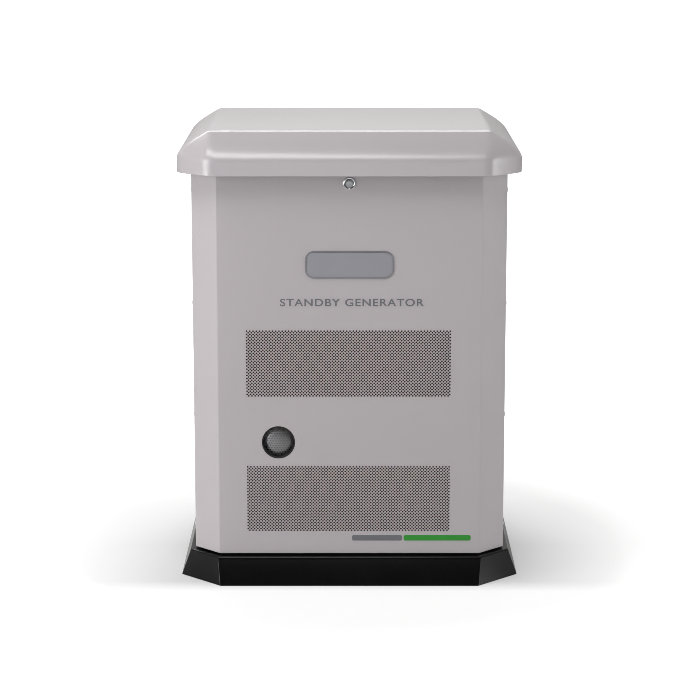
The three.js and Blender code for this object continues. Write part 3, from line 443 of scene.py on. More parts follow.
def round_screen_tree():
    inputs = [
        ("Count", "Int"), ("Row Pairs", "Int"), ("Pitch", "Float"), ("Hole Radius", "Float"),
        ("Radius", "Float"), ("Open From", "Float"), ("Border", "Float"), ("Thickness", "Float"),
        ("Material", "Material"),
    ]
    hand, given, result = shape_tree("punched_disc", inputs)
    row = hand.times(given["Pitch"], math.sqrt(0.75))
    points = staggered_points(hand, given["Count"], given["Row Pairs"], given["Pitch"], row)
    place_of = hand.add("GeometryNodeInputPosition").outputs[0]
    reach = hand.add("ShaderNodeVectorMath", {0: place_of}, operation="LENGTH").outputs["Value"]
    limit = hand.minus(given["Radius"], given["Border"])
    too_far = hand.math("GREATER_THAN", reach, limit)
    too_near = hand.math("LESS_THAN", reach, given["Open From"])
    drop = hand.math("MAXIMUM", too_far, too_near)
    kept = hand.add("GeometryNodeDeleteGeometry", {"Geometry": points, "Selection": drop}).outputs[0]
    rim = hand.add(
        "GeometryNodeCurvePrimitiveCircle", {"Resolution": 64, "Radius": given["Radius"]}
    ).outputs[0]
    sheet = punched(hand, rim, kept, given["Hole Radius"], 10, given["Thickness"])
    return finish_tree(hand, sheet, given["Material"], result)


def screw_row_tree():
    inputs = [
        ("Head", "Object"), ("Count", "Int"), ("Start", "Vector"), ("Step", "Vector"),
        ("Material", "Material"),
    ]
    hand, given, result = shape_tree("screw_row", inputs)
    line = hand.add(
        "GeometryNodeMeshLine",
        {"Count": given["Count"], "Start Location": given["Start"], "Offset": given["Step"]},
        mode="OFFSET",
    ).outputs[0]
    head = hand.add("GeometryNodeObjectInfo", {"Object": given["Head"]}).outputs["Geometry"]
    turn = hand.add("FunctionNodeRandomValue", {"Max": 3.0, "Seed": 7}, data_type="FLOAT").outputs[1]
    rotation = hand.vector(z=turn)
    row = hand.add(
        "GeometryNodeInstanceOnPoints", {"Points": line, "Instance": head, "Rotation": rotation}
    ).outputs[0]
    return finish_tree(hand, row, given["Material"], result)


# ---------------------------------------------------------------- node trees for finishes


def shade_tree(name, inputs, outputs):
    tree = bpy.data.node_groups.new(name, "ShaderNodeTree")
    for label, kind, value in inputs:
        socket = tree.interface.new_socket(label, in_out="INPUT", socket_type="NodeSocket" + kind)
        if value is not None:
            socket.default_value = value
    for label, kind in outputs:
        tree.interface.new_socket(label, in_out="OUTPUT", socket_type="NodeSocket" + kind)
    hand = Tree(tree)
    given = tree.nodes.new("NodeGroupInput").outputs
    result = tree.nodes.new("NodeGroupOutput").inputs
    return hand, given, result


def mottle_group():
    """Slow, cloudy change of shade over a surface."""
    inputs = [
        ("Vector", "Vector", None), ("Color", "Color", (0.5, 0.5, 0.5, 1)),
        ("Scale", "Float", 9.0), ("Amount", "Float", 0.06),
    ]
    hand, given, result = shade_tree("mottle", inputs, [("Color", "Color"), ("Mask", "Float")])
    noise = hand.add(
        "ShaderNodeTexNoise", {
            "Vector": given["Vector"], "Scale": given["Scale"], "Detail": 4.0, "Roughness": 0.55
        }
    ).outputs["Fac"]
    swing = hand.times(hand.minus(noise, 0.5), given["Amount"])
    gain = hand.plus(hand.times(swing, 2.0), 1.0)
    hue = hand.add("ShaderNodeHueSaturation", {"Color": given["Color"], "Value": gain}).outputs[0]
    hand.tree.links.new(hue, result["Color"])
    hand.tree.links.new(noise, result["Mask"])
    return hand.tree


def grain_group():
    """Fine height over a surface: orange peel, sand-cast skin or moulded grain."""
    inputs = [
        ("Vector", "Vector", None), ("Scale", "Float", 900.0), ("Distance", "Float", 0.00005),
        ("Strength", "Float", 0.3), ("Coarse", "Float", 0.25),
    ]
    hand, given, result = shade_tree("grain", inputs, [("Normal", "Vector"), ("Mask", "Float")])
    fine = hand.add(
        "ShaderNodeTexNoise", {"Vector": given["Vector"], "Scale": given["Scale"], "Detail": 2.0}
    ).outputs["Fac"]
    wide_scale = hand.times(given["Scale"], given["Coarse"])
    wide = hand.add(
        "ShaderNodeTexNoise", {"Vector": given["Vector"], "Scale": wide_scale, "Detail": 1.0}
    ).outputs["Fac"]
    height = hand.plus(fine, wide)
    bump = hand.add(
        "ShaderNodeBump", {"Height": height, "Distance": given["Distance"], "Strength": given["Strength"]}
    ).outputs[0]
    hand.tree.links.new(bump, result["Normal"])
    hand.tree.links.new(fine, result["Mask"])
    return hand.tree


def dust_group():
    """Where dust settles: upward faces, in patches."""
    inputs = [("Vector", "Vector", None), ("Amount", "Float", 0.15)]
    hand, given, result = shade_tree("dust", inputs, [("Mask", "Float")])
    normal = hand.add("ShaderNodeNewGeometry").outputs["Normal"]
    upright = hand.add("ShaderNodeSeparateXYZ", {0: normal}).outputs["Z"]
    upward = hand.math("MAXIMUM", upright, 0.0)
    patch = hand.add(
        "ShaderNodeTexNoise", {"Vector": given["Vector"], "Scale": 26.0, "Detail": 6.0, "Roughness": 0.62}
    ).outputs["Fac"]
    lying = hand.times(upward, patch)
    hand.tree.links.new(hand.times(lying, given["Amount"]), result["Mask"])
    return hand.tree


def brush_group():
    """Long fine streaks left by rolling or brushing, along X."""
    inputs = [
        ("Vector", "Vector", None), ("Scale", "Float", 60.0), ("Low", "Float", 0.25), ("High", "Float", 0.45)
    ]
    hand, given, result = shade_tree("brushing", inputs, [("Roughness", "Float"), ("Mask", "Float")])
    stretched = hand.add(
        "ShaderNodeVectorMath", {0: given["Vector"], 1: (0.5, 9.0, 9.0)}, operation="MULTIPLY"
    ).outputs[0]
    streaks = hand.add(
        "ShaderNodeTexNoise", {"Vector": stretched, "Scale": given["Scale"], "Detail": 3.0}
    ).outputs["Fac"]
    ranged = hand.add(
        "ShaderNodeMapRange", {"Value": streaks, "To Min": given["Low"], "To Max": given["High"]}
    ).outputs[0]
    hand.tree.links.new(ranged, result["Roughness"])
    hand.tree.links.new(streaks, result["Mask"])
    return hand.tree


DUST_TONE = (0.30, 0.27, 0.23, 1)
MATERIALS = {}
GROUPS = {}


def finish(
    name, color, rough, metal=0.0, coat=0.0, mottle=(9.0, 0.05), grain=(900.0, 0.00004, 0.3),
    dust=0.05, shine=0.5,
):
    """A procedural finish: cloudy colour, settled dust, uneven roughness and a fine grain.

    rough is the lowest and highest roughness, mottle a scale and amount, grain a scale, height and strength.
    """
    material = bpy.data.materials.new(name)
    material.use_nodes = True
    material.diffuse_color = (*color, 1)
    tree = material.node_tree
    hand = Tree(tree)
    shader = next(node for node in tree.nodes if node.type == "BSDF_PRINCIPLED")
    where = hand.add("ShaderNodeTexCoord").outputs["Object"]

    def group(kind, values):
        node = tree.nodes.new("ShaderNodeGroup")
        node.node_tree = GROUPS[kind]
        for label, value in values.items():
            node.inputs[label].default_value = value
        tree.links.new(where, node.inputs["Vector"])
        return node.outputs

    cloudy = group("mottle", {"Color": (*color, 1), "Scale": mottle[0], "Amount": mottle[1]})
    dusty = group("dust", {"Amount": dust})
    skin = group("grain", {"Scale": grain[0], "Distance": grain[1], "Strength": grain[2]})
    mixed = hand.add("ShaderNodeMix", data_type="RGBA")
    tree.links.new(dusty["Mask"], mixed.inputs["Factor"])
    tree.links.new(cloudy["Color"], mixed.inputs[6])
    mixed.inputs[7].default_value = DUST_TONE
    tree.links.new(mixed.outputs[2], shader.inputs["Base Color"])
    if metal > 0.5:
        streaks = group("brush", {"Low": rough[0], "High": rough[1]})
        tree.links.new(streaks["Roughness"], shader.inputs["Roughness"])
    else:
        ranged = hand.add(
            "ShaderNodeMapRange", {"Value": cloudy["Mask"], "To Min": rough[0], "To Max": rough[1]}
        )
        tree.links.new(ranged.outputs[0], shader.inputs["Roughness"])
    tree.links.new(skin["Normal"], shader.inputs["Normal"])
    shader.inputs["Metallic"].default_value = metal
    shader.inputs["Coat Weight"].default_value = coat
    shader.inputs["Coat Roughness"].default_value = 0.24
    shader.inputs["Specular IOR Level"].default_value = shine
    MATERIALS[name] = material
    return material


class GENERATOR_OT_finishes(bpy.types.Operator):
    """Builds every procedural finish"""

    bl_idname = "generator.finishes"
    bl_label = "Finishes"

    def execute(self, context):
        tones = context.scene.generator_finish
        GROUPS.update(mottle=mottle_group(), grain=grain_group(), dust=dust_group(), brush=brush_group())
        finish(
            "panel_paint", tones.panel, (0.42, 0.54), grain=(1500, 0.00006, 0.34), mottle=(5, 0.02), dust=0.03
        )
        finish(
            "lid_paint", tones.lid, (0.30, 0.38), coat=0.4, grain=(700, 0.00003, 0.12), mottle=(4, 0.02),
            dust=0.04
        )
        finish(
            "base_plastic", tones.base, (0.20, 0.30), grain=(500, 0.00004, 0.16), mottle=(12, 0.15),
            dust=0.006, shine=0.20
        )
        finish(
            "zinc_steel", (0.55, 0.56, 0.57), (0.30, 0.46), 1.0, mottle=(60, 0.12), grain=(500, 0.00003, 0.2)
        )
        finish("chrome", (0.72, 0.72, 0.74), (0.06, 0.14), 1.0, mottle=(30, 0.04), grain=(400, 0.00001, 0.1))
        finish(
            "cast_aluminium", (0.42, 0.43, 0.44), (0.45, 0.62), 0.9, mottle=(40, 0.1),
            grain=(900, 0.00025, 0.6)
        )
        finish(
            "machined_steel", (0.32, 0.33, 0.34), (0.22, 0.36), 1.0, mottle=(30, 0.1),
            grain=(1200, 0.00003, 0.3)
        )
        finish(
            "black_steel", (0.013, 0.013, 0.014), (0.34, 0.5), grain=(900, 0.00008, 0.4), mottle=(20, 0.2),
            dust=0.1
        )
        finish(
            "exhaust_steel", (0.30, 0.28, 0.26), (0.42, 0.62), 0.9, mottle=(26, 0.3), grain=(500, 0.0001, 0.4)
        )
        finish(
            "outlet_steel", (0.34, 0.34, 0.355), (0.32, 0.46), 0.95, mottle=(60, 0.3),
            grain=(700, 0.00006, 0.3)
        )
        finish(
            "soot", (0.012, 0.011, 0.010), (0.7, 0.9), grain=(700, 0.0002, 0.6), mottle=(40, 0.3), dust=0.02
        )
        finish("copper", (0.45, 0.16, 0.06), (0.28, 0.42), 0.8, mottle=(90, 0.25), grain=(700, 0.0002, 0.5))
        finish(
            "rubber", (0.012, 0.012, 0.012), (0.62, 0.8), grain=(800, 0.0001, 0.4), mottle=(30, 0.2),
            dust=0.12
        )
        finish(
            "foam", (0.024, 0.024, 0.026), (0.85, 0.98), grain=(1400, 0.0006, 0.9), mottle=(60, 0.3),
            dust=0.05
        )
        finish("red_rubber", (0.33, 0.012, 0.009), (0.45, 0.6), grain=(700, 0.00005, 0.3), mottle=(40, 0.1))
        finish("filter_paper", (0.68, 0.55, 0.28), (0.8, 0.95), grain=(1600, 0.00015, 0.7), mottle=(50, 0.15))
        finish("filter_paint", (0.028, 0.03, 0.033), (0.2, 0.32), coat=0.3, grain=(500, 0.00004, 0.2))
        finish(
            "control_plastic", (0.09, 0.098, 0.107), (0.42, 0.55), grain=(1300, 0.0001, 0.5),
            mottle=(15, 0.05)
        )
        finish("green_key", (0.014, 0.254, 0.024), (0.3, 0.42), grain=(900, 0.00004, 0.2), mottle=(60, 0.06))
        finish("grey_key", (0.58, 0.58, 0.57), (0.3, 0.42), grain=(900, 0.00004, 0.2), mottle=(60, 0.04))
        finish("red_key", (0.46, 0.014, 0.01), (0.3, 0.42), grain=(900, 0.00004, 0.2), mottle=(60, 0.06))
        finish(
            "nameplate_face", (0.26, 0.26, 0.285), (0.3, 0.42), 0.25, grain=(1500, 0.00003, 0.3),
            mottle=(40, 0.05)
        )
        finish(
            "nameplate_rim", (0.22, 0.22, 0.24), (0.3, 0.4), 0.4, grain=(1500, 0.00003, 0.3),
            mottle=(40, 0.05)
        )
        finish(
            "lettering", (0.135, 0.14, 0.15), (0.35, 0.5), 0.2, grain=(900, 0.00003, 0.3), mottle=(60, 0.06)
        )
        finish("accent", tones.accent, (0.35, 0.5), grain=(900, 0.00003, 0.3), mottle=(60, 0.05))
        return {"FINISHED"}


# ---------------------------------------------------------------- sheet metal case


def folded(mesh, flat_half, radius, lengths):
    """Bends a flat sheet, drawn as wide as its developed length, into a front with a corner face each side.

    The sheet lies in XY with its outer face at z 0 and its inner face below. lengths holds the width of the
    corner face and of the return after it. The result faces along -Y with its outer face at y 0.
    """
    turn = math.pi / 4
    arc = radius * turn
    marks = [0.0, flat_half, flat_half + arc, flat_half + arc + lengths[0]]
    marks += [marks[-1] + arc, marks[-1] + arc + lengths[1]]
    work = bmesh.new()
    work.from_mesh(mesh)
    steps = 4
    for start in (marks[1], marks[3]):
        for i in range(steps + 1):
            for side in (-1, 1):
                cut = side * (start + arc * i / steps)
                bmesh.ops.bisect_plane(
                    work, geom=work.verts[:] + work.edges[:] + work.faces[:],
                    plane_co=(cut, 0, 0), plane_no=(1, 0, 0), dist=1e-7,
                )
    for vertex in work.verts:
        side = 1 if vertex.co.x >= 0 else -1
        along = abs(vertex.co.x)
        depth = -vertex.co.z
        point = Vector((0.0, 0.0))
        heading = 0.0
        for index in range(5):
            span = min(along, marks[index + 1]) - marks[index]
            if span <= 0:
                break
            if index % 2 == 0:
                point += span * Vector((math.cos(heading), math.sin(heading)))
            else:
                swing = span / radius
                middle = point + radius * Vector((-math.sin(heading), math.cos(heading)))
                heading += swing
                point = middle + radius * Vector((math.sin(heading), -math.cos(heading)))
        inward = Vector((-math.sin(heading), math.cos(heading)))
        point = point + depth * inward
        vertex.co = Vector((side * point.x, point.y, vertex.co.y))
    bmesh.ops.remove_doubles(work, verts=work.verts, dist=1e-7)
    bmesh.ops.recalc_face_normals(work, faces=work.faces)
    bent = bpy.data.meshes.new("folded")
    work.to_mesh(bent)
    work.free()
    return bent


def panel_sizes(case):
    """Half width of the flat face and lengths of the corner face and the return, less their bends."""
    trim = case.bend * math.tan(math.pi / 8)
    flat_half = HALF_WIDTH - case.corner - trim
    corner = case.corner * math.sqrt(2) - 2 * trim
    back = HALF_DEPTH - case.corner + FRONT_HIGH.y - trim
    total = flat_half + corner + back + 2 * case.bend * math.pi / 4
    return flat_half, corner, back, total


def vent_window(vents, columns, middle):
    """Lowest and highest corner of the window that a vent field fills."""
    across = (columns - 1) * vents.pitch + vents.hole + 2 * VENT_MARGIN
    down = (vents.rows - 0.5) * vents.pitch + vents.hole + 2 * VENT_MARGIN
    half = Vector((across / 2, down / 2))
    return Vector(middle) - half, Vector(middle) + half


class GENERATOR_OT_front_panel(bpy.types.Operator):
    """The folded front panel with its two vent windows, outlet and lock holes"""

    bl_idname = "generator.front_panel"
    bl_label = "Front panel"

    def execute(self, context):
        case = context.scene.generator_case
        vents = context.scene.generator_vents
        flat_half, corner, back, total = panel_sizes(case)
        screen = centre_of("outlet_screen")
        lock = centre_of("lock_barrel")
        windows = [
            rectangle_points(*vent_window(vents, vents.columns, (vents.shift, z)))
            for z in (vents.upper_z, vents.lower_z)
        ]
        holes = windows + [
            circle_points(case.outlet_radius, (screen.x, screen.z), 96),
            circle_points(case.lock_radius, (lock.x, lock.z), 40),
        ]
        outline = rectangle_points((-total, FRONT_LOW.z), (total, FRONT_HIGH.z))
        sheet = flat_sheet(outline, holes, SHEET)
        sheet.transform(Matrix.Translation((0, 0, -SHEET)))
        bent = folded(sheet, flat_half, case.bend, (corner, back))
        bent.transform(Matrix.Translation((0, -HALF_DEPTH, 0)))
        panel = place(bent, "front_sheet", "root", "panel_paint")
        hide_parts("front_panel")
        return {"FINISHED"}


class GENERATOR_OT_rear_panel(bpy.types.Operator):
    """The folded rear panel with its gas hole, conduit hole and a dark foam lining, partly acoustic foam and
    partly painted shade inside the case
    """

    bl_idname = "generator.rear_panel"
    bl_label = "Rear panel"

    def execute(self, context):
        case = context.scene.generator_case
        flat_half, corner, back, total = panel_sizes(case)
        gas = centre_of("gas_inlet_pipe")
        low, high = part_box("rear_panel")
        holes = [
            circle_points(case.gas_radius, (-gas.x, gas.z), 40),
            circle_points(case.conduit_radius, (-case.conduit_x, case.conduit_z), 48),
        ]
        outline = rectangle_points((-total, low.z), (total, high.z))
        sheet = flat_sheet(outline, holes, SHEET)
        sheet.transform(Matrix.Translation((0, 0, -SHEET)))
        bent = folded(sheet, flat_half, case.bend, (corner, back))
        bent.transform(Matrix.Rotation(math.pi, 4, "Z") @ Matrix.Translation((0, -HALF_DEPTH, 0)))
        panel = place(bent, "rear_sheet", "root", "panel_paint")
        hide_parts("rear_panel")
        # dark foam lining inside the rear panel: partly acoustic foam, partly painted shade that darkens the
        # inside of the case seen through the vents
        half = flat_half - 0.010
        around = 0.006
        openings = [
            circle_points(case.gas_radius + around, (-gas.x, gas.z), 40),
            circle_points(case.conduit_radius + around, (-case.conduit_x, case.conduit_z), 48),
        ]
        foam_outline = rectangle_points((-half, low.z + 0.040), (half, high.z - 0.050))
        shade_lining = bevelled(flat_sheet(foam_outline, openings, FOAM_SHEET), 0.001)
        behind = wall_matrix(180, HALF_DEPTH - SHEET - FOAM_SHEET - 0.0004)
        place(shade_lining, "rear_lining", "root", "foam", behind)
        return {"FINISHED"}


class GENERATOR_OT_side_panels(bpy.types.Operator):
    """The two flat side panels, each with two vent windows"""

    bl_idname = "generator.side_panels"
    bl_label = "Side panels"

    def execute(self, context):
        vents = context.scene.generator_vents
        for node, turn in (("left_panel", -90), ("right_panel", 90)):
            low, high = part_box(node)
            windows = [
                rectangle_points(*vent_window(vents, vents.side_columns, (0, z)))
                for z in (vents.upper_z, vents.lower_z)
            ]
            sheet = flat_sheet(rectangle_points((low.y, low.z), (high.y, high.z)), windows, high.x - low.x)
            matrix = wall_matrix(turn, HALF_WIDTH - SHEET)
            panel = place(sheet, node.replace("panel", "sheet"), "root", "panel_paint", matrix)
            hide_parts(node)
        return {"FINISHED"}


class GENERATOR_OT_vents(bpy.types.Operator):
    """The punched vent fields of the front and sides, each with a dark foam baffle behind it: partly acoustic
    foam, partly painted shade that keeps the view through the holes dark
    """

    bl_idname = "generator.vents"
    bl_label = "Vents"

    def execute(self, context):
        vents = context.scene.generator_vents
        tree = vent_tree()
        front = HALF_DEPTH - SHEET
        side = HALF_WIDTH - SHEET
        fields = [
            ("upper_vent", vents.columns, vents.shift, vents.upper_z, 0, front),
            ("lower_vent", vents.columns, vents.shift, vents.lower_z, 0, front),
            ("left_upper_vent", vents.side_columns, 0.0, vents.upper_z, -90, side),
            ("left_lower_vent", vents.side_columns, 0.0, vents.lower_z, -90, side),
            ("right_upper_vent", vents.side_columns, 0.0, vents.upper_z, 90, side),
            ("right_lower_vent", vents.side_columns, 0.0, vents.lower_z, 90, side),
        ]
        made = {}
        for name, columns, across, height, turn, reach in fields:
            if columns not in made:
                values = {
                    "Columns": columns, "Row Pairs": vents.rows, "Pitch": vents.pitch,
                    "Hole Radius": vents.hole / 2, "Margin": VENT_MARGIN + LAP,
                    "Thickness": SHEET, "Material": MATERIALS["panel_paint"],
                }
                made[columns] = run_tree(tree, values)
            field = made[columns].copy()
            matrix = wall_matrix(turn, reach) @ Matrix.Translation((across, height, 0))
            place(field, name, "root", "panel_paint", matrix)
            # dark foam baffle behind each vent: painted shade seen through the holes, partly acoustic foam
            place(self.shade_baffle(vents, columns), name + "_baffle", "root", "foam", matrix)
        return {"FINISHED"}

    def shade_baffle(self, vents, columns):
        """A dark foam sheet held off the wall behind a vent, open above and below: partly acoustic foam,
        partly painted shade for the dark seen through the holes.
        """
        low, high = vent_window(vents, columns, (0, 0))
        edge, stand, thick = 0.006, 0.009, 0.004
        low = low - Vector((edge, edge))
        high = high + Vector((edge, edge))
        sheet = block_mesh((low.x, low.y, -stand - thick), (high.x, high.y, -stand))
        cheeks = [
            block_mesh((x, low.y, -stand - thick / 2), (x + thick, high.y, -0.0004))
            for x in (low.x, high.x - thick)
        ]
        return bevelled(joined([sheet, *cheeks]), 0.0006)


# ---------------------------------------------------------------- lofted mouldings


def rounded_ring(half_x, half_y, corner, radius, z, steps=4):
    """An octagon in plan with its eight corners rounded, as a ring of points."""
    corner = max(corner, 1e-4)
    sharp = []
    for sign_x, sign_y, first in ((1, -1, 0), (1, 1, 1), (-1, 1, 0), (-1, -1, 1)):
        pair = [(half_x - corner, half_y), (half_x, half_y - corner)]
        if first:
            pair.reverse()
        sharp += [Vector((sign_x * x, sign_y * y)) for x, y in pair]
    reach = min(radius * math.tan(math.pi / 8), 0.48 * corner * math.sqrt(2))
    ring = []
    for index, point in enumerate(sharp):
        before = (sharp[index - 1] - point).normalized()
        after = (sharp[(index + 1) % 8] - point).normalized()
        start = point + reach * before
        end = point + reach * after
        for step in range(steps + 1):
            t = step / steps
            spot = (1 - t) ** 2 * start + 2 * t * (1 - t) * point + t**2 * end
            ring.append(Vector((spot.x, spot.y, z)))
    return ring


def loft(rings):
    """A closed mesh through rings of equal length, with flat ends."""
    work = bmesh.new()
    rows = [[work.verts.new(point) for point in ring] for ring in rings]
    for low, high in zip(rows, rows[1:]):
        count = len(low)
        for i in range(count):
            j = (i + 1) % count
            work.faces.new((low[i], low[j], high[j], high[i]))
    work.faces.new(list(reversed(rows[0])))
    work.faces.new(rows[-1])
    bmesh.ops.recalc_face_normals(work, faces=work.faces)
    mesh = bpy.data.meshes.new("loft")
    work.to_mesh(mesh)
    work.free()
    return mesh


def bent_line(a, b, c, share_in, share_out, steps):
    """Points from a to c by way of b, with the corner at b rounded; shares are of each leg."""
    start = b + (a - b) * share_in
    end = b + (c - b) * share_out
    line = []
    for step in range(steps + 1):
        t = step / steps
        line.append((1 - t) ** 2 * start + 2 * t * (1 - t) * b + t**2 * end)
    return line


class GENERATOR_OT_lid(bpy.types.Operator):
    """The moulded lid: upright skirt, rounded shoulder, sloping sides and flat top, hollow below"""

    bl_idname = "generator.lid"
    bl_label = "Lid"

    def execute(self, context):
        lid = context.scene.generator_lid
        rise = LID_HIGH.z - LID_LOW.z - lid.skirt
        foot = Vector((0.0, LID_LOW.z))
        shoulder = Vector((0.0, LID_LOW.z + lid.skirt))
        brow = Vector((1.0, LID_LOW.z + lid.skirt + rise))
        middle = Vector((1.0 + 1.4 * lid.crease, brow.y))
        tilt = math.atan2(lid.slope_y, rise)

        def ring(point, inset):
            """Plan ring at a place on the profile: x is the share of the slope, y the height."""
            share = min(point.x, 1.0)
            over = (point.x - share) * lid.slope_y
            half_x = LID_HIGH.x - lid.slope_x * share - over - inset
            half_y = LID_HIGH.y - lid.slope_y * share - over - inset
            corner = lid.corner * (1 - share) + 0.0045 - inset * (2 - math.sqrt(2)) * (1 - share)
            radius = 0.034 * (1 - share) + 0.012
            return rounded_ring(half_x, half_y, max(corner, 0.0015), max(radius - inset, 0.002), point.y)

        shoulder_line = bent_line(foot, shoulder, brow, lid.shoulder, lid.brow, 12)
        crease_line = bent_line(shoulder, brow, middle, lid.crease, 0.7, 5)
        lip = 0.0012
        outer = [Vector((lip * 6, foot.y)), Vector((lip * 2, foot.y + lip * 0.3)), Vector((0, foot.y + lip))]
        flats = [shoulder_line[0] - Vector((0, 0.002)), *shoulder_line]
        slope_start = shoulder_line[-1] + (brow - shoulder_line[-1]) * 0.04
        slope_end = crease_line[0] + (shoulder - crease_line[0]) * 0.03
        profile = [*flats, slope_start, slope_end, *crease_line]
        skirt_rings = [ring(Vector((0, p.y)), p.x * 0.35) for p in outer]
        outside = skirt_rings + [ring(p, 0) for p in profile]
        last = profile[-1]
        outside.append(ring(last + Vector((0.03, 0)), 0))
        outside.append(ring(last + Vector((0.4, 0)), 0))
        shift = lid.wall * math.tan((math.pi / 2 - tilt) / 2)
        inner_shoulder = Vector((0.0, shoulder.y - lid.wall * math.tan(tilt / 2)))
        inner_brow = Vector((1.0 + (shift - lid.wall) / lid.slope_y, brow.y - lid.wall))
        bottom = Vector((0.0, foot.y))
        inner_line = bent_line(bottom, inner_shoulder, inner_brow, lid.shoulder, lid.brow, 8)
        inside = [
            ring(bottom, lid.wall),
            *[ring(p, lid.wall) for p in inner_line],
            ring(inner_brow, lid.wall),
        ]
        mesh = loft(list(reversed(outside)) + inside)
        keeper_low, keeper_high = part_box("latch_keeper")
        reach = min((keeper_low.y - LID_LOW.y) / lid.slope_y, 1)
        pad_low = (0.0, keeper_low.y, keeper_high.z + GAP)
        pad_high = (keeper_high.x + keeper_low.x + 0.008, keeper_high.y, shoulder.y + rise * reach - 0.002)
        pad = bevelled(block_mesh(pad_low, pad_high), 0.0012)
        cover = place(joined([mesh, pad]), "lid_moulding", "lid", "lid_paint", angle=24)
        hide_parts("lid")
        return {"FINISHED"}


class GENERATOR_OT_base(bpy.types.Operator):
    """The black base: a flared octagonal moulding with a ledge for the case"""

    bl_idname = "generator.base"
    bl_label = "Base"

    def execute(self, context):
        base = context.scene.generator_base
        rim_x = HALF_WIDTH + base.rim_out
        rim_y = HALF_DEPTH + base.rim_out
        plinth_x = HALF_WIDTH - 0.010
        plinth_y = HALF_DEPTH - 0.010
        top = base.rim_height

        def flare(share, z, inset=0.0):
            half_x = BASE_HIGH.x + (rim_x - BASE_HIGH.x) * share - inset
            half_y = BASE_HIGH.y + (rim_y - BASE_HIGH.y) * share - inset
            corner = base.foot_corner + (base.rim_corner - base.foot_corner) * share
            return rounded_ring(half_x, half_y, corner, 0.004, z, 3)

        rings = [
            flare(0, 0.0, 0.004), flare(0, 0.0, 0.0016), flare(0.004, 0.0005, 0.0004),
            flare(0.02, 0.0016), flare(0.05, 0.0030), flare(0.90, top * 0.90),
            flare(0.94, top - 0.0024), flare(0.97, top - 0.0010, 0.0006),
            flare(1.0, top - 0.0002, 0.0018), flare(1.0, top, 0.0032), flare(1.0, top, 0.0060),
        ]
        for inset, z in (
            (-0.0012, top), (0.0, top),
            (0.0, BASE_HIGH.z - 0.0006), (0.0006, BASE_HIGH.z), (0.004, BASE_HIGH.z),
        ):
            rings.append(rounded_ring(plinth_x - inset, plinth_y - inset, 0.054 - 0.0059, 0.006, z, 3))
        moulding = place(loft(rings), "base_moulding", "root", "base_plastic")
        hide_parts("base_pad")
        return {"FINISHED"}


# ---------------------------------------------------------------- lock, outlet, screws


def turned_mesh(profile, steps=64):
    """A solid of revolution about Z from points (radius, z), closed along the axis."""
    work = bmesh.new()
    verts = [work.verts.new((radius, 0, z)) for radius, z in profile]
    edges = [work.edges.new(pair) for pair in zip(verts, verts[1:])]
    bmesh.ops.spin(
        work, geom=verts + edges, cent=(0, 0, 0), axis=(0, 0, 1),
        angle=2 * math.pi, steps=steps, use_merge=True,
    )
    bmesh.ops.remove_doubles(work, verts=work.verts, dist=1e-6)
    bmesh.ops.recalc_face_normals(work, faces=work.faces)
    mesh = bpy.data.meshes.new("turned")
    work.to_mesh(mesh)
    work.free()
    return mesh


FRONTWARD = Matrix.Rotation(math.pi / 2, 4, "X")


def carved(mesh, tool_mesh):
    """The first mesh with the second cut out of it."""
    piece = link("carved", mesh)
    tool = link("tool", tool_mesh)
    cut = piece.modifiers.new("cut", "BOOLEAN")
    cut.operation = "DIFFERENCE"
    cut.object = tool
    cut.solver = "EXACT"
    made = plain_mesh(piece, mesh.name)
    bpy.data.objects.remove(tool)
    return made


class GENERATOR_OT_lock(bpy.types.Operator):
    """The lid lock: a bright barrel in the front panel and a plug with its key slot"""

    bl_idname = "generator.lock"
    bl_label = "Lock"

    def execute(self, context):
        low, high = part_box("lock_barrel")
        plug_low, plug_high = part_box("lock_plug")
        middle = Vector((centre_of("lock_barrel").x, 0, centre_of("lock_barrel").z))
        flange = (high.x - low.x) / 2
        front = low.y
        radius = (plug_high.x - plug_low.x) / 2
        bore = radius + GAP
        back = high.y
        face = -HALF_DEPTH - GAP
        barrel_radius = context.scene.generator_case.lock_radius - GAP
        profile = [
            (bore, -back), (barrel_radius, -back), (barrel_radius, -face),
            (flange - 0.0006, -face), (flange, -face + 0.0006), (flange, -front - 0.0014),
            (flange - 0.0004, -front - 0.0004), (flange - 0.0011, -front),
            (flange - 0.0017, -front - 0.0002), (bore + 0.0002, -front - 0.0016),
            (bore, -front - 0.0020), (bore, -back),
        ]
        place_lock = Matrix.Translation(middle) @ FRONTWARD
        barrel = place(turned_mesh(profile), "lock_body", "root", "chrome", place_lock)
        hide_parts("lock_barrel")
        front = plug_low.y
        plug_profile = [
            (0, -plug_high.y), (radius, -plug_high.y), (radius, -front - 0.0008),
            (radius - 0.0003, -front - 0.0002), (radius - 0.0009, -front), (0, -front),
        ]
        plug = turned_mesh(plug_profile, 48)
        slot_half = Vector((0.0007, 0.0034))
        slot_low = (-slot_half.x, -slot_half.y, -front - 0.006)
        slot_high = (slot_half.x, slot_half.y, -front + 0.002)
        plug = carved(plug, block_mesh(slot_low, slot_high))
        wider = turned_mesh(
            [(0, -front - 0.004), (0.0022, -front - 0.004), (0.0022, -front + 0.002), (0, -front + 0.002)], 32
        )
        plug = carved(plug, wider)
        key_plug = place(plug, "lock_core", "lid_lock", "machined_steel", place_lock)
        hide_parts("lock_plug")
        return {"FINISHED"}


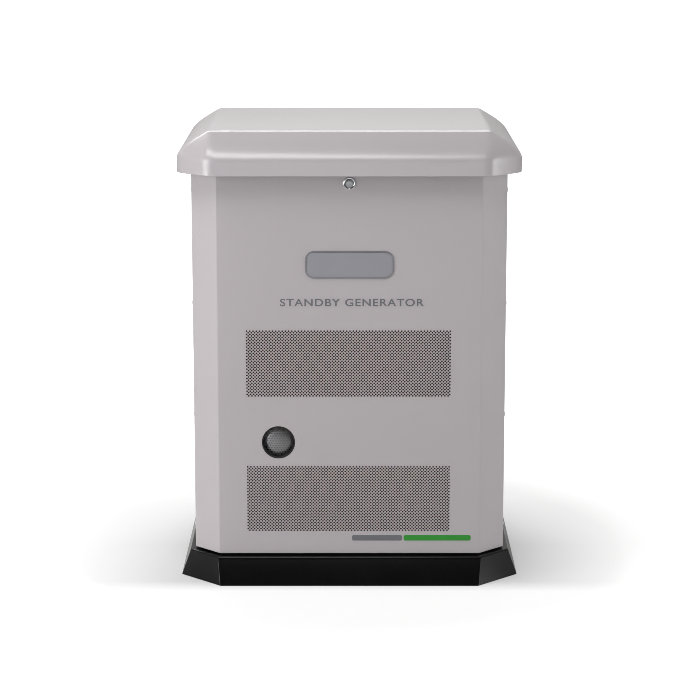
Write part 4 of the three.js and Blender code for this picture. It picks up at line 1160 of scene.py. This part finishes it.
class GENERATOR_OT_outlet(bpy.types.Operator):
    """The perforated, domed screen in the exhaust outlet"""

    bl_idname = "generator.outlet"
    bl_label = "Outlet screen"

    def execute(self, context):
        low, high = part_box("outlet_screen")
        radius = (high.x - low.x) / 2
        thickness = 0.0008
        values = {
            "Count": 13, "Row Pairs": 7, "Pitch": 0.0057, "Hole Radius": 0.0020, "Radius": radius,
            "Open From": 0.0, "Border": 0.0030, "Thickness": thickness,
            "Material": MATERIALS["outlet_steel"],
        }
        mesh = run_tree(round_screen_tree(), values)
        dome = high.y - low.y - thickness
        for vertex in mesh.vertices:
            share = vertex.co.xy.length / radius
            vertex.co.z += dome * (1 - share**2)
        middle = (low + high) / 2
        matrix = Matrix.Translation((middle.x, high.y, middle.z)) @ FRONTWARD
        screen = place(mesh, "outlet_mesh", "root", "outlet_steel", matrix)
        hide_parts("outlet_screen")
        return {"FINISHED"}


def plate(width, tall, corner, z, x=0.0):
    """The outline of an upright plate with rounded corners."""
    outline = []
    for sign_x, sign_y, start in ((1, -1, 270), (1, 1, 0), (-1, 1, 90), (-1, -1, 180)):
        middle = (x + sign_x * (width / 2 - corner), z + sign_y * (tall / 2 - corner))
        for step in range(9):
            angle = math.radians(start + step * 90 / 8)
            outline.append((middle[0] + corner * math.cos(angle), middle[1] + corner * math.sin(angle)))
    return outline


class GENERATOR_OT_marks(bpy.types.Operator):
    """A plain nameplate, generic lettering and a two-tone stripe on the front"""

    bl_idname = "generator.marks"
    bl_label = "Nameplate and lettering"

    def execute(self, context):
        marks = context.scene.generator_marks
        face = Matrix.Translation((0, -HALF_DEPTH, 0)) @ WALL_BASE

        tall = marks.plate_depth
        rounding = tall * 0.34

        def inset(edge):
            return plate(marks.plate_width - 2 * edge, tall - 2 * edge, rounding - edge, marks.plate_z)

        rim = bevelled(flat_sheet(inset(0), [inset(0.0035)], 0.0016), 0.0005, 2)
        place(rim, "nameplate_rim", "root", "nameplate_rim", face)
        place(flat_sheet(inset(0.0037), [], 0.0010), "nameplate_face", "root", "nameplate_face", face)

        font = bpy.data.curves.new("words", "FONT")
        font.body = "STANDBY GENERATOR"
        font.align_x = "CENTER"
        font.align_y = "CENTER"
        font.size = marks.words_tall * 1.45
        font.space_character = 1.12
        font.offset = 0.00035
        font.extrude = 0.0002
        words = plain_mesh(link("words", font), "words")
        face_out(words)
        reach = [vertex.co.x for vertex in words.vertices]
        height = [vertex.co.y for vertex in words.vertices]
        stretch = marks.words_width / (max(reach) - min(reach))
        lift = marks.words_tall / (max(height) - min(height))
        words.transform(Matrix.Diagonal((stretch, lift, 1, 1)))
        middle = (max(height) + min(height)) / 2 * lift
        shift = (max(reach) + min(reach)) / 2 * stretch
        where = face @ Matrix.Translation((0.0055 - shift, marks.words_z - middle, 0.0002))
        place(words, "generic_words", "root", "lettering", where)

        corner = marks.stripe_tall * 0.3
        for name, width, across, paint in (
            ("grey", 0.106, 0.0585, "lettering"), ("green", 0.142, 0.186, "accent")
        ):
            stripe = flat_sheet(plate(width, marks.stripe_tall, corner, marks.stripe_z, across), [], 0.0004)
            place(stripe, name + "_stripe", "root", paint, face)
        return {"FINISHED"}


def screw_head():
    """A pan-head screw with a cross recess, head up along Z, standing on z 0."""
    radius = 0.0048
    profile = [
        (0, -0.0006), (radius * 0.9, -0.0006), (radius, 0.0002), (radius, 0.0008), (radius * 0.93, 0.0017),
        (radius * 0.72, 0.0024), (radius * 0.4, 0.0028), (0, 0.0029),
    ]
    head = turned_mesh(profile, 24)
    for turn in (0, 90):
        bar = block_mesh((-0.0024, -0.00045, 0.0012), (0.0024, 0.00045, 0.004))
        bar.transform(Matrix.Rotation(math.radians(turn), 4, "Z"))
        head = carved(head, bar)
    return head


class GENERATOR_OT_screws(bpy.types.Operator):
    """Rows of pan-head screws on the side and rear seams and along the control panel"""

    bl_idname = "generator.screws"
    bl_label = "Screws"

    def execute(self, context):
        head = link("screw_head_source", screw_head())
        tree = screw_row_tree()
        low, high = FRONT_LOW.z + 0.045, FRONT_HIGH.z - 0.075
        step = (high - low) / 3
        seam = SIDE_HIGH.y - 0.009
        rows = [
            ("left_front_screws", -90, HALF_WIDTH, -seam), ("left_rear_screws", -90, HALF_WIDTH, seam),
            ("right_front_screws", 90, HALF_WIDTH, -seam), ("right_rear_screws", 90, HALF_WIDTH, seam),
            ("rear_left_screws", 180, HALF_DEPTH, -0.262), ("rear_right_screws", 180, HALF_DEPTH, 0.262),
        ]
        for name, turn, reach, across in rows:
            values = {
                "Head": head, "Count": 4, "Start": (across, low, 0.0), "Step": (0.0, step, 0.0),
                "Material": MATERIALS["zinc_steel"],
            }
            place(run_tree(tree, values), name, "root", "zinc_steel", wall_matrix(turn, reach), angle=40)
        panel_low, panel_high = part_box("control_panel")
        for name, x in (
            ("fascia_left_screws", panel_low.x + 0.009), ("fascia_right_screws", panel_high.x - 0.009)
        ):
            span = (panel_high.y - panel_low.y - 0.024) / 3
            values = {
                "Head": head, "Count": 4, "Start": (x, panel_low.y + 0.012, panel_high.z),
                "Step": (0.0, span, 0.0), "Material": MATERIALS["zinc_steel"],
            }
            place(run_tree(tree, values), name, "root", "zinc_steel", angle=40)
        bpy.data.objects.remove(head)
        return {"FINISHED"}


class GENERATOR_OT_debris_screen(bpy.types.Operator):
    """The punched screen over the flywheel"""

    bl_idname = "generator.debris_screen"
    bl_label = "Debris screen"

    def execute(self, context):
        low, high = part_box("debris_screen")
        middle = (low + high) / 2
        radius = (high.x - low.x) / 2
        thickness = high.z - low.z
        values = {
            "Count": 34, "Row Pairs": 19, "Pitch": 0.0060, "Hole Radius": 0.0021, "Radius": radius,
            "Open From": 0.026, "Border": 0.008, "Thickness": thickness,
            "Material": MATERIALS["black_steel"],
        }
        mesh = run_tree(bpy.data.node_groups["punched_disc"], values)
        matrix = Matrix.Translation((middle.x, middle.y, low.z))
        screen = place(mesh, "screen_disc", "drive_line", "black_steel", matrix)
        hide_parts("debris_screen")
        return {"FINISHED"}


EDGES = {
    0.0003: "hinge_body_leaf hinge_lid_leaf",
    0.0004: "hinge_pin throttle_lever air_filter top_frame",
    0.0005: "lock_cam latch_keeper floor_pan",
    0.0006: "control_box blower_housing",
    0.0008: "control_panel",
    0.001: "button_auto button_run button_off intake_manifold",
    0.0012: "circuit_breaker",
    0.0015: "crankcase controller breaker_handle starter_motor oil_filter gas_regulator",
    0.002: "air_cleaner_housing battery",
    0.003: "air_cleaner_cover muffler",
}
EDGE = {name: width for width, names in EDGES.items() for name in names.split()}
COMMON_EDGE = 0.0008


class GENERATOR_OT_inner_pieces(bpy.types.Operator):
    """Every other piece: its own shape with merged faces, softened edges and a finish"""

    bl_idname = "generator.inner_pieces"
    bl_label = "Inner pieces"

    def execute(self, context):
        slots = {part["node"]: part["material_slot"] for part in frame["record"]["subparts"]}
        for name, node in frame["nodes"].items():
            if node.hide_render:
                continue
            mesh = node.data.copy()
            work = bmesh.new()
            work.from_mesh(mesh)
            bmesh.ops.remove_doubles(work, verts=work.verts, dist=1e-6)
            bmesh.ops.dissolve_limit(work, angle_limit=math.radians(0.8), verts=work.verts, edges=work.edges)
            bmesh.ops.recalc_face_normals(work, faces=work.faces)
            work.to_mesh(mesh)
            work.free()
            soft = bevelled(mesh, EDGE.get(name, COMMON_EDGE), 2, 40)
            finish = "soot" if name == "muffler_outlet_pipe" else slots[name]
            piece = place(soft, name + "_finished", node["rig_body"], finish, angle=32)
            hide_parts(name)
        return {"FINISHED"}


# ---------------------------------------------------------------- stage


def area_light(name, where, target, size, power):
    light = bpy.data.lights.new(name, "AREA")
    light.shape = "RECTANGLE"
    light.size, light.size_y = size
    light.energy = power
    lamp = bpy.data.objects.new(name, light)
    bpy.context.scene.collection.objects.link(lamp)
    lamp.location = where
    lamp.rotation_euler = (Vector(target) - Vector(where)).to_track_quat("-Z", "Y").to_euler()


class GENERATOR_OT_stage(bpy.types.Operator):
    """White studio: camera, soft boxes, floor and backdrop"""

    bl_idname = "generator.stage"
    bl_label = "Stage"

    def execute(self, context):
        scene = context.scene
        stage = scene.generator_stage
        scene.view_settings.view_transform = "Standard"
        camera = bpy.data.objects.new("camera", bpy.data.cameras.new("camera"))
        scene.collection.objects.link(camera)
        camera.data.lens = stage.lens
        camera.data.sensor_width = 36
        camera.location = (0.0013, -HALF_DEPTH - stage.distance, stage.height)
        camera.rotation_euler = (math.pi / 2 - stage.pitch, 0, 0)
        scene.camera = camera
        scene.cycles.filter_width = 0.8

        world = bpy.data.worlds.new("studio")
        world.use_nodes = True
        scene.world = world
        hand = Tree(world.node_tree)
        world.node_tree.nodes.clear()
        seen = hand.add("ShaderNodeLightPath").outputs["Is Camera Ray"]
        heading = hand.add("ShaderNodeTexCoord").outputs["Generated"]
        back = hand.add("ShaderNodeSeparateXYZ", {0: heading}).outputs["Y"]
        rising = {"Value": back, "From Min": -0.2, "From Max": 0.75, "To Min": 0.05, "To Max": 0.50}
        around = hand.add("ShaderNodeMapRange", rising, interpolation_type="SMOOTHSTEP").outputs[0]
        white = hand.add("ShaderNodeBackground", {"Color": (1, 1, 1, 1), "Strength": 1.0}).outputs[0]
        studio = hand.add(
            "ShaderNodeBackground", {"Color": (1.0, 0.985, 0.97, 1), "Strength": around}
        ).outputs[0]
        mixed = hand.add("ShaderNodeMixShader", {0: seen, 1: studio, 2: white}).outputs[0]
        hand.add("ShaderNodeOutputWorld", {"Surface": mixed})

        floor = block_mesh((-30, -30, -0.02), (30, 30, 0))
        ground = link("floor", floor)
        paper = bpy.data.materials.new("paper")
        paper.use_nodes = True
        hand = Tree(paper.node_tree)
        paper.node_tree.nodes.clear()
        matt = hand.add("ShaderNodeBsdfDiffuse")
        seen = hand.add("ShaderNodeLightPath").outputs["Is Camera Ray"]
        # The camera sees the paper darker than the light that bounces off it; the painted glow below makes up
        # the rest.
        paper_tone = hand.minus(0.80, hand.times(seen, 0.50))
        paper.node_tree.links.new(paper_tone, matt.inputs["Color"])
        matt = matt.outputs[0]
        where = hand.add("ShaderNodeTexCoord").outputs["Object"]
        parts = hand.add("ShaderNodeSeparateXYZ", {0: where}).outputs
        away = hand.add("ShaderNodeVectorMath", {0: where}, operation="LENGTH").outputs["Value"]

        def ramp(value, start, end, first, last):
            levels = {"Value": value, "From Min": start, "From Max": end, "To Min": first, "To Max": last}
            return hand.add("ShaderNodeMapRange", levels).outputs[0]

        # Painted floor shading for camera rays: a glow that is white far away and weaker near the case, less
        # a painted shadow beside and behind the base.
        beside = ramp(hand.math("ABSOLUTE", parts["X"]), 0.36, 0.62, 0.30, 0.0)
        ahead = ramp(parts["Y"], -0.35, -0.28, 0.0, 1.0)
        behind = ramp(parts["Y"], 0.0, 0.42, 1.0, 0.0)
        shade = hand.times(beside, hand.times(ahead, behind))
        glow_with_painted_shadow = hand.minus(ramp(away, 0.60, 1.0, 0.70, 1.1), shade)
        lift = hand.add(
            "ShaderNodeEmission", {"Color": (1, 1, 1, 1), "Strength": hand.times(seen, glow_with_painted_shadow)}
        ).outputs[0]
        both = hand.add("ShaderNodeAddShader", {0: matt, 1: lift}).outputs[0]
        hand.add("ShaderNodeOutputMaterial", {"Surface": both})
        floor.materials.append(paper)

        aim = (0, 0, 0.5)
        area_light("back", (-0.5, 3.2, 3.0), (0, 0, 0.9), (3.4, 0.9), 62)
        area_light("brow", (-0.8, -1.3, 3.4), (0, -0.3, 0.9), (3.2, 1.2), 80)
        area_light("key", (-3.4, -1.9, 1.1), aim, (1.8, 2.0), 84)
        area_light("fill", (3.7, -1.1, 1.1), aim, (1.8, 2.0), 56)
        area_light("low", (0.0, -4.6, 0.5), (0, 0, 0.3), (2.4, 0.8), 11)
        return {"FINISHED"}


# ---------------------------------------------------------------- sidebar and start

STEPS = [
    GENERATOR_OT_stage, GENERATOR_OT_finishes, GENERATOR_OT_front_panel, GENERATOR_OT_rear_panel,
    GENERATOR_OT_side_panels, GENERATOR_OT_vents, GENERATOR_OT_lid, GENERATOR_OT_base, GENERATOR_OT_lock,
    GENERATOR_OT_outlet, GENERATOR_OT_marks, GENERATOR_OT_screws, GENERATOR_OT_debris_screen,
    GENERATOR_OT_inner_pieces,
]
SETTINGS = {
    "generator_case": CaseSettings, "generator_vents": VentSettings, "generator_lid": LidSettings,
    "generator_base": BaseSettings, "generator_marks": MarkSettings, "generator_finish": FinishSettings,
    "generator_stage": StageSettings,
}


class GENERATOR_PT_sidebar(bpy.types.Panel):
    """Every setting and every step, in order"""

    bl_idname = "GENERATOR_PT_sidebar"
    bl_label = "Generator"
    bl_space_type = "VIEW_3D"
    bl_region_type = "UI"
    bl_category = "Generator"

    def draw(self, context):
        for name, kind in SETTINGS.items():
            box = self.layout.box()
            box.label(text=kind.__doc__)
            for label in kind.__annotations__:
                box.prop(getattr(context.scene, name), label)
        for step in STEPS:
            self.layout.operator(step.bl_idname)


def register():
    for kind in [*SETTINGS.values(), *STEPS, GENERATOR_PT_sidebar]:
        bpy.utils.register_class(kind)
    for name, kind in SETTINGS.items():
        setattr(bpy.types.Scene, name, bpy.props.PointerProperty(type=kind))


def unregister():
    for name in SETTINGS:
        delattr(bpy.types.Scene, name)
    for kind in reversed([*SETTINGS.values(), *STEPS, GENERATOR_PT_sidebar]):
        bpy.utils.unregister_class(kind)


def main():
    register()
    for step in STEPS:
        group, name = step.bl_idname.split(".")
        getattr(getattr(bpy.ops, group), name)()


if __name__ == "__main__":
    main()
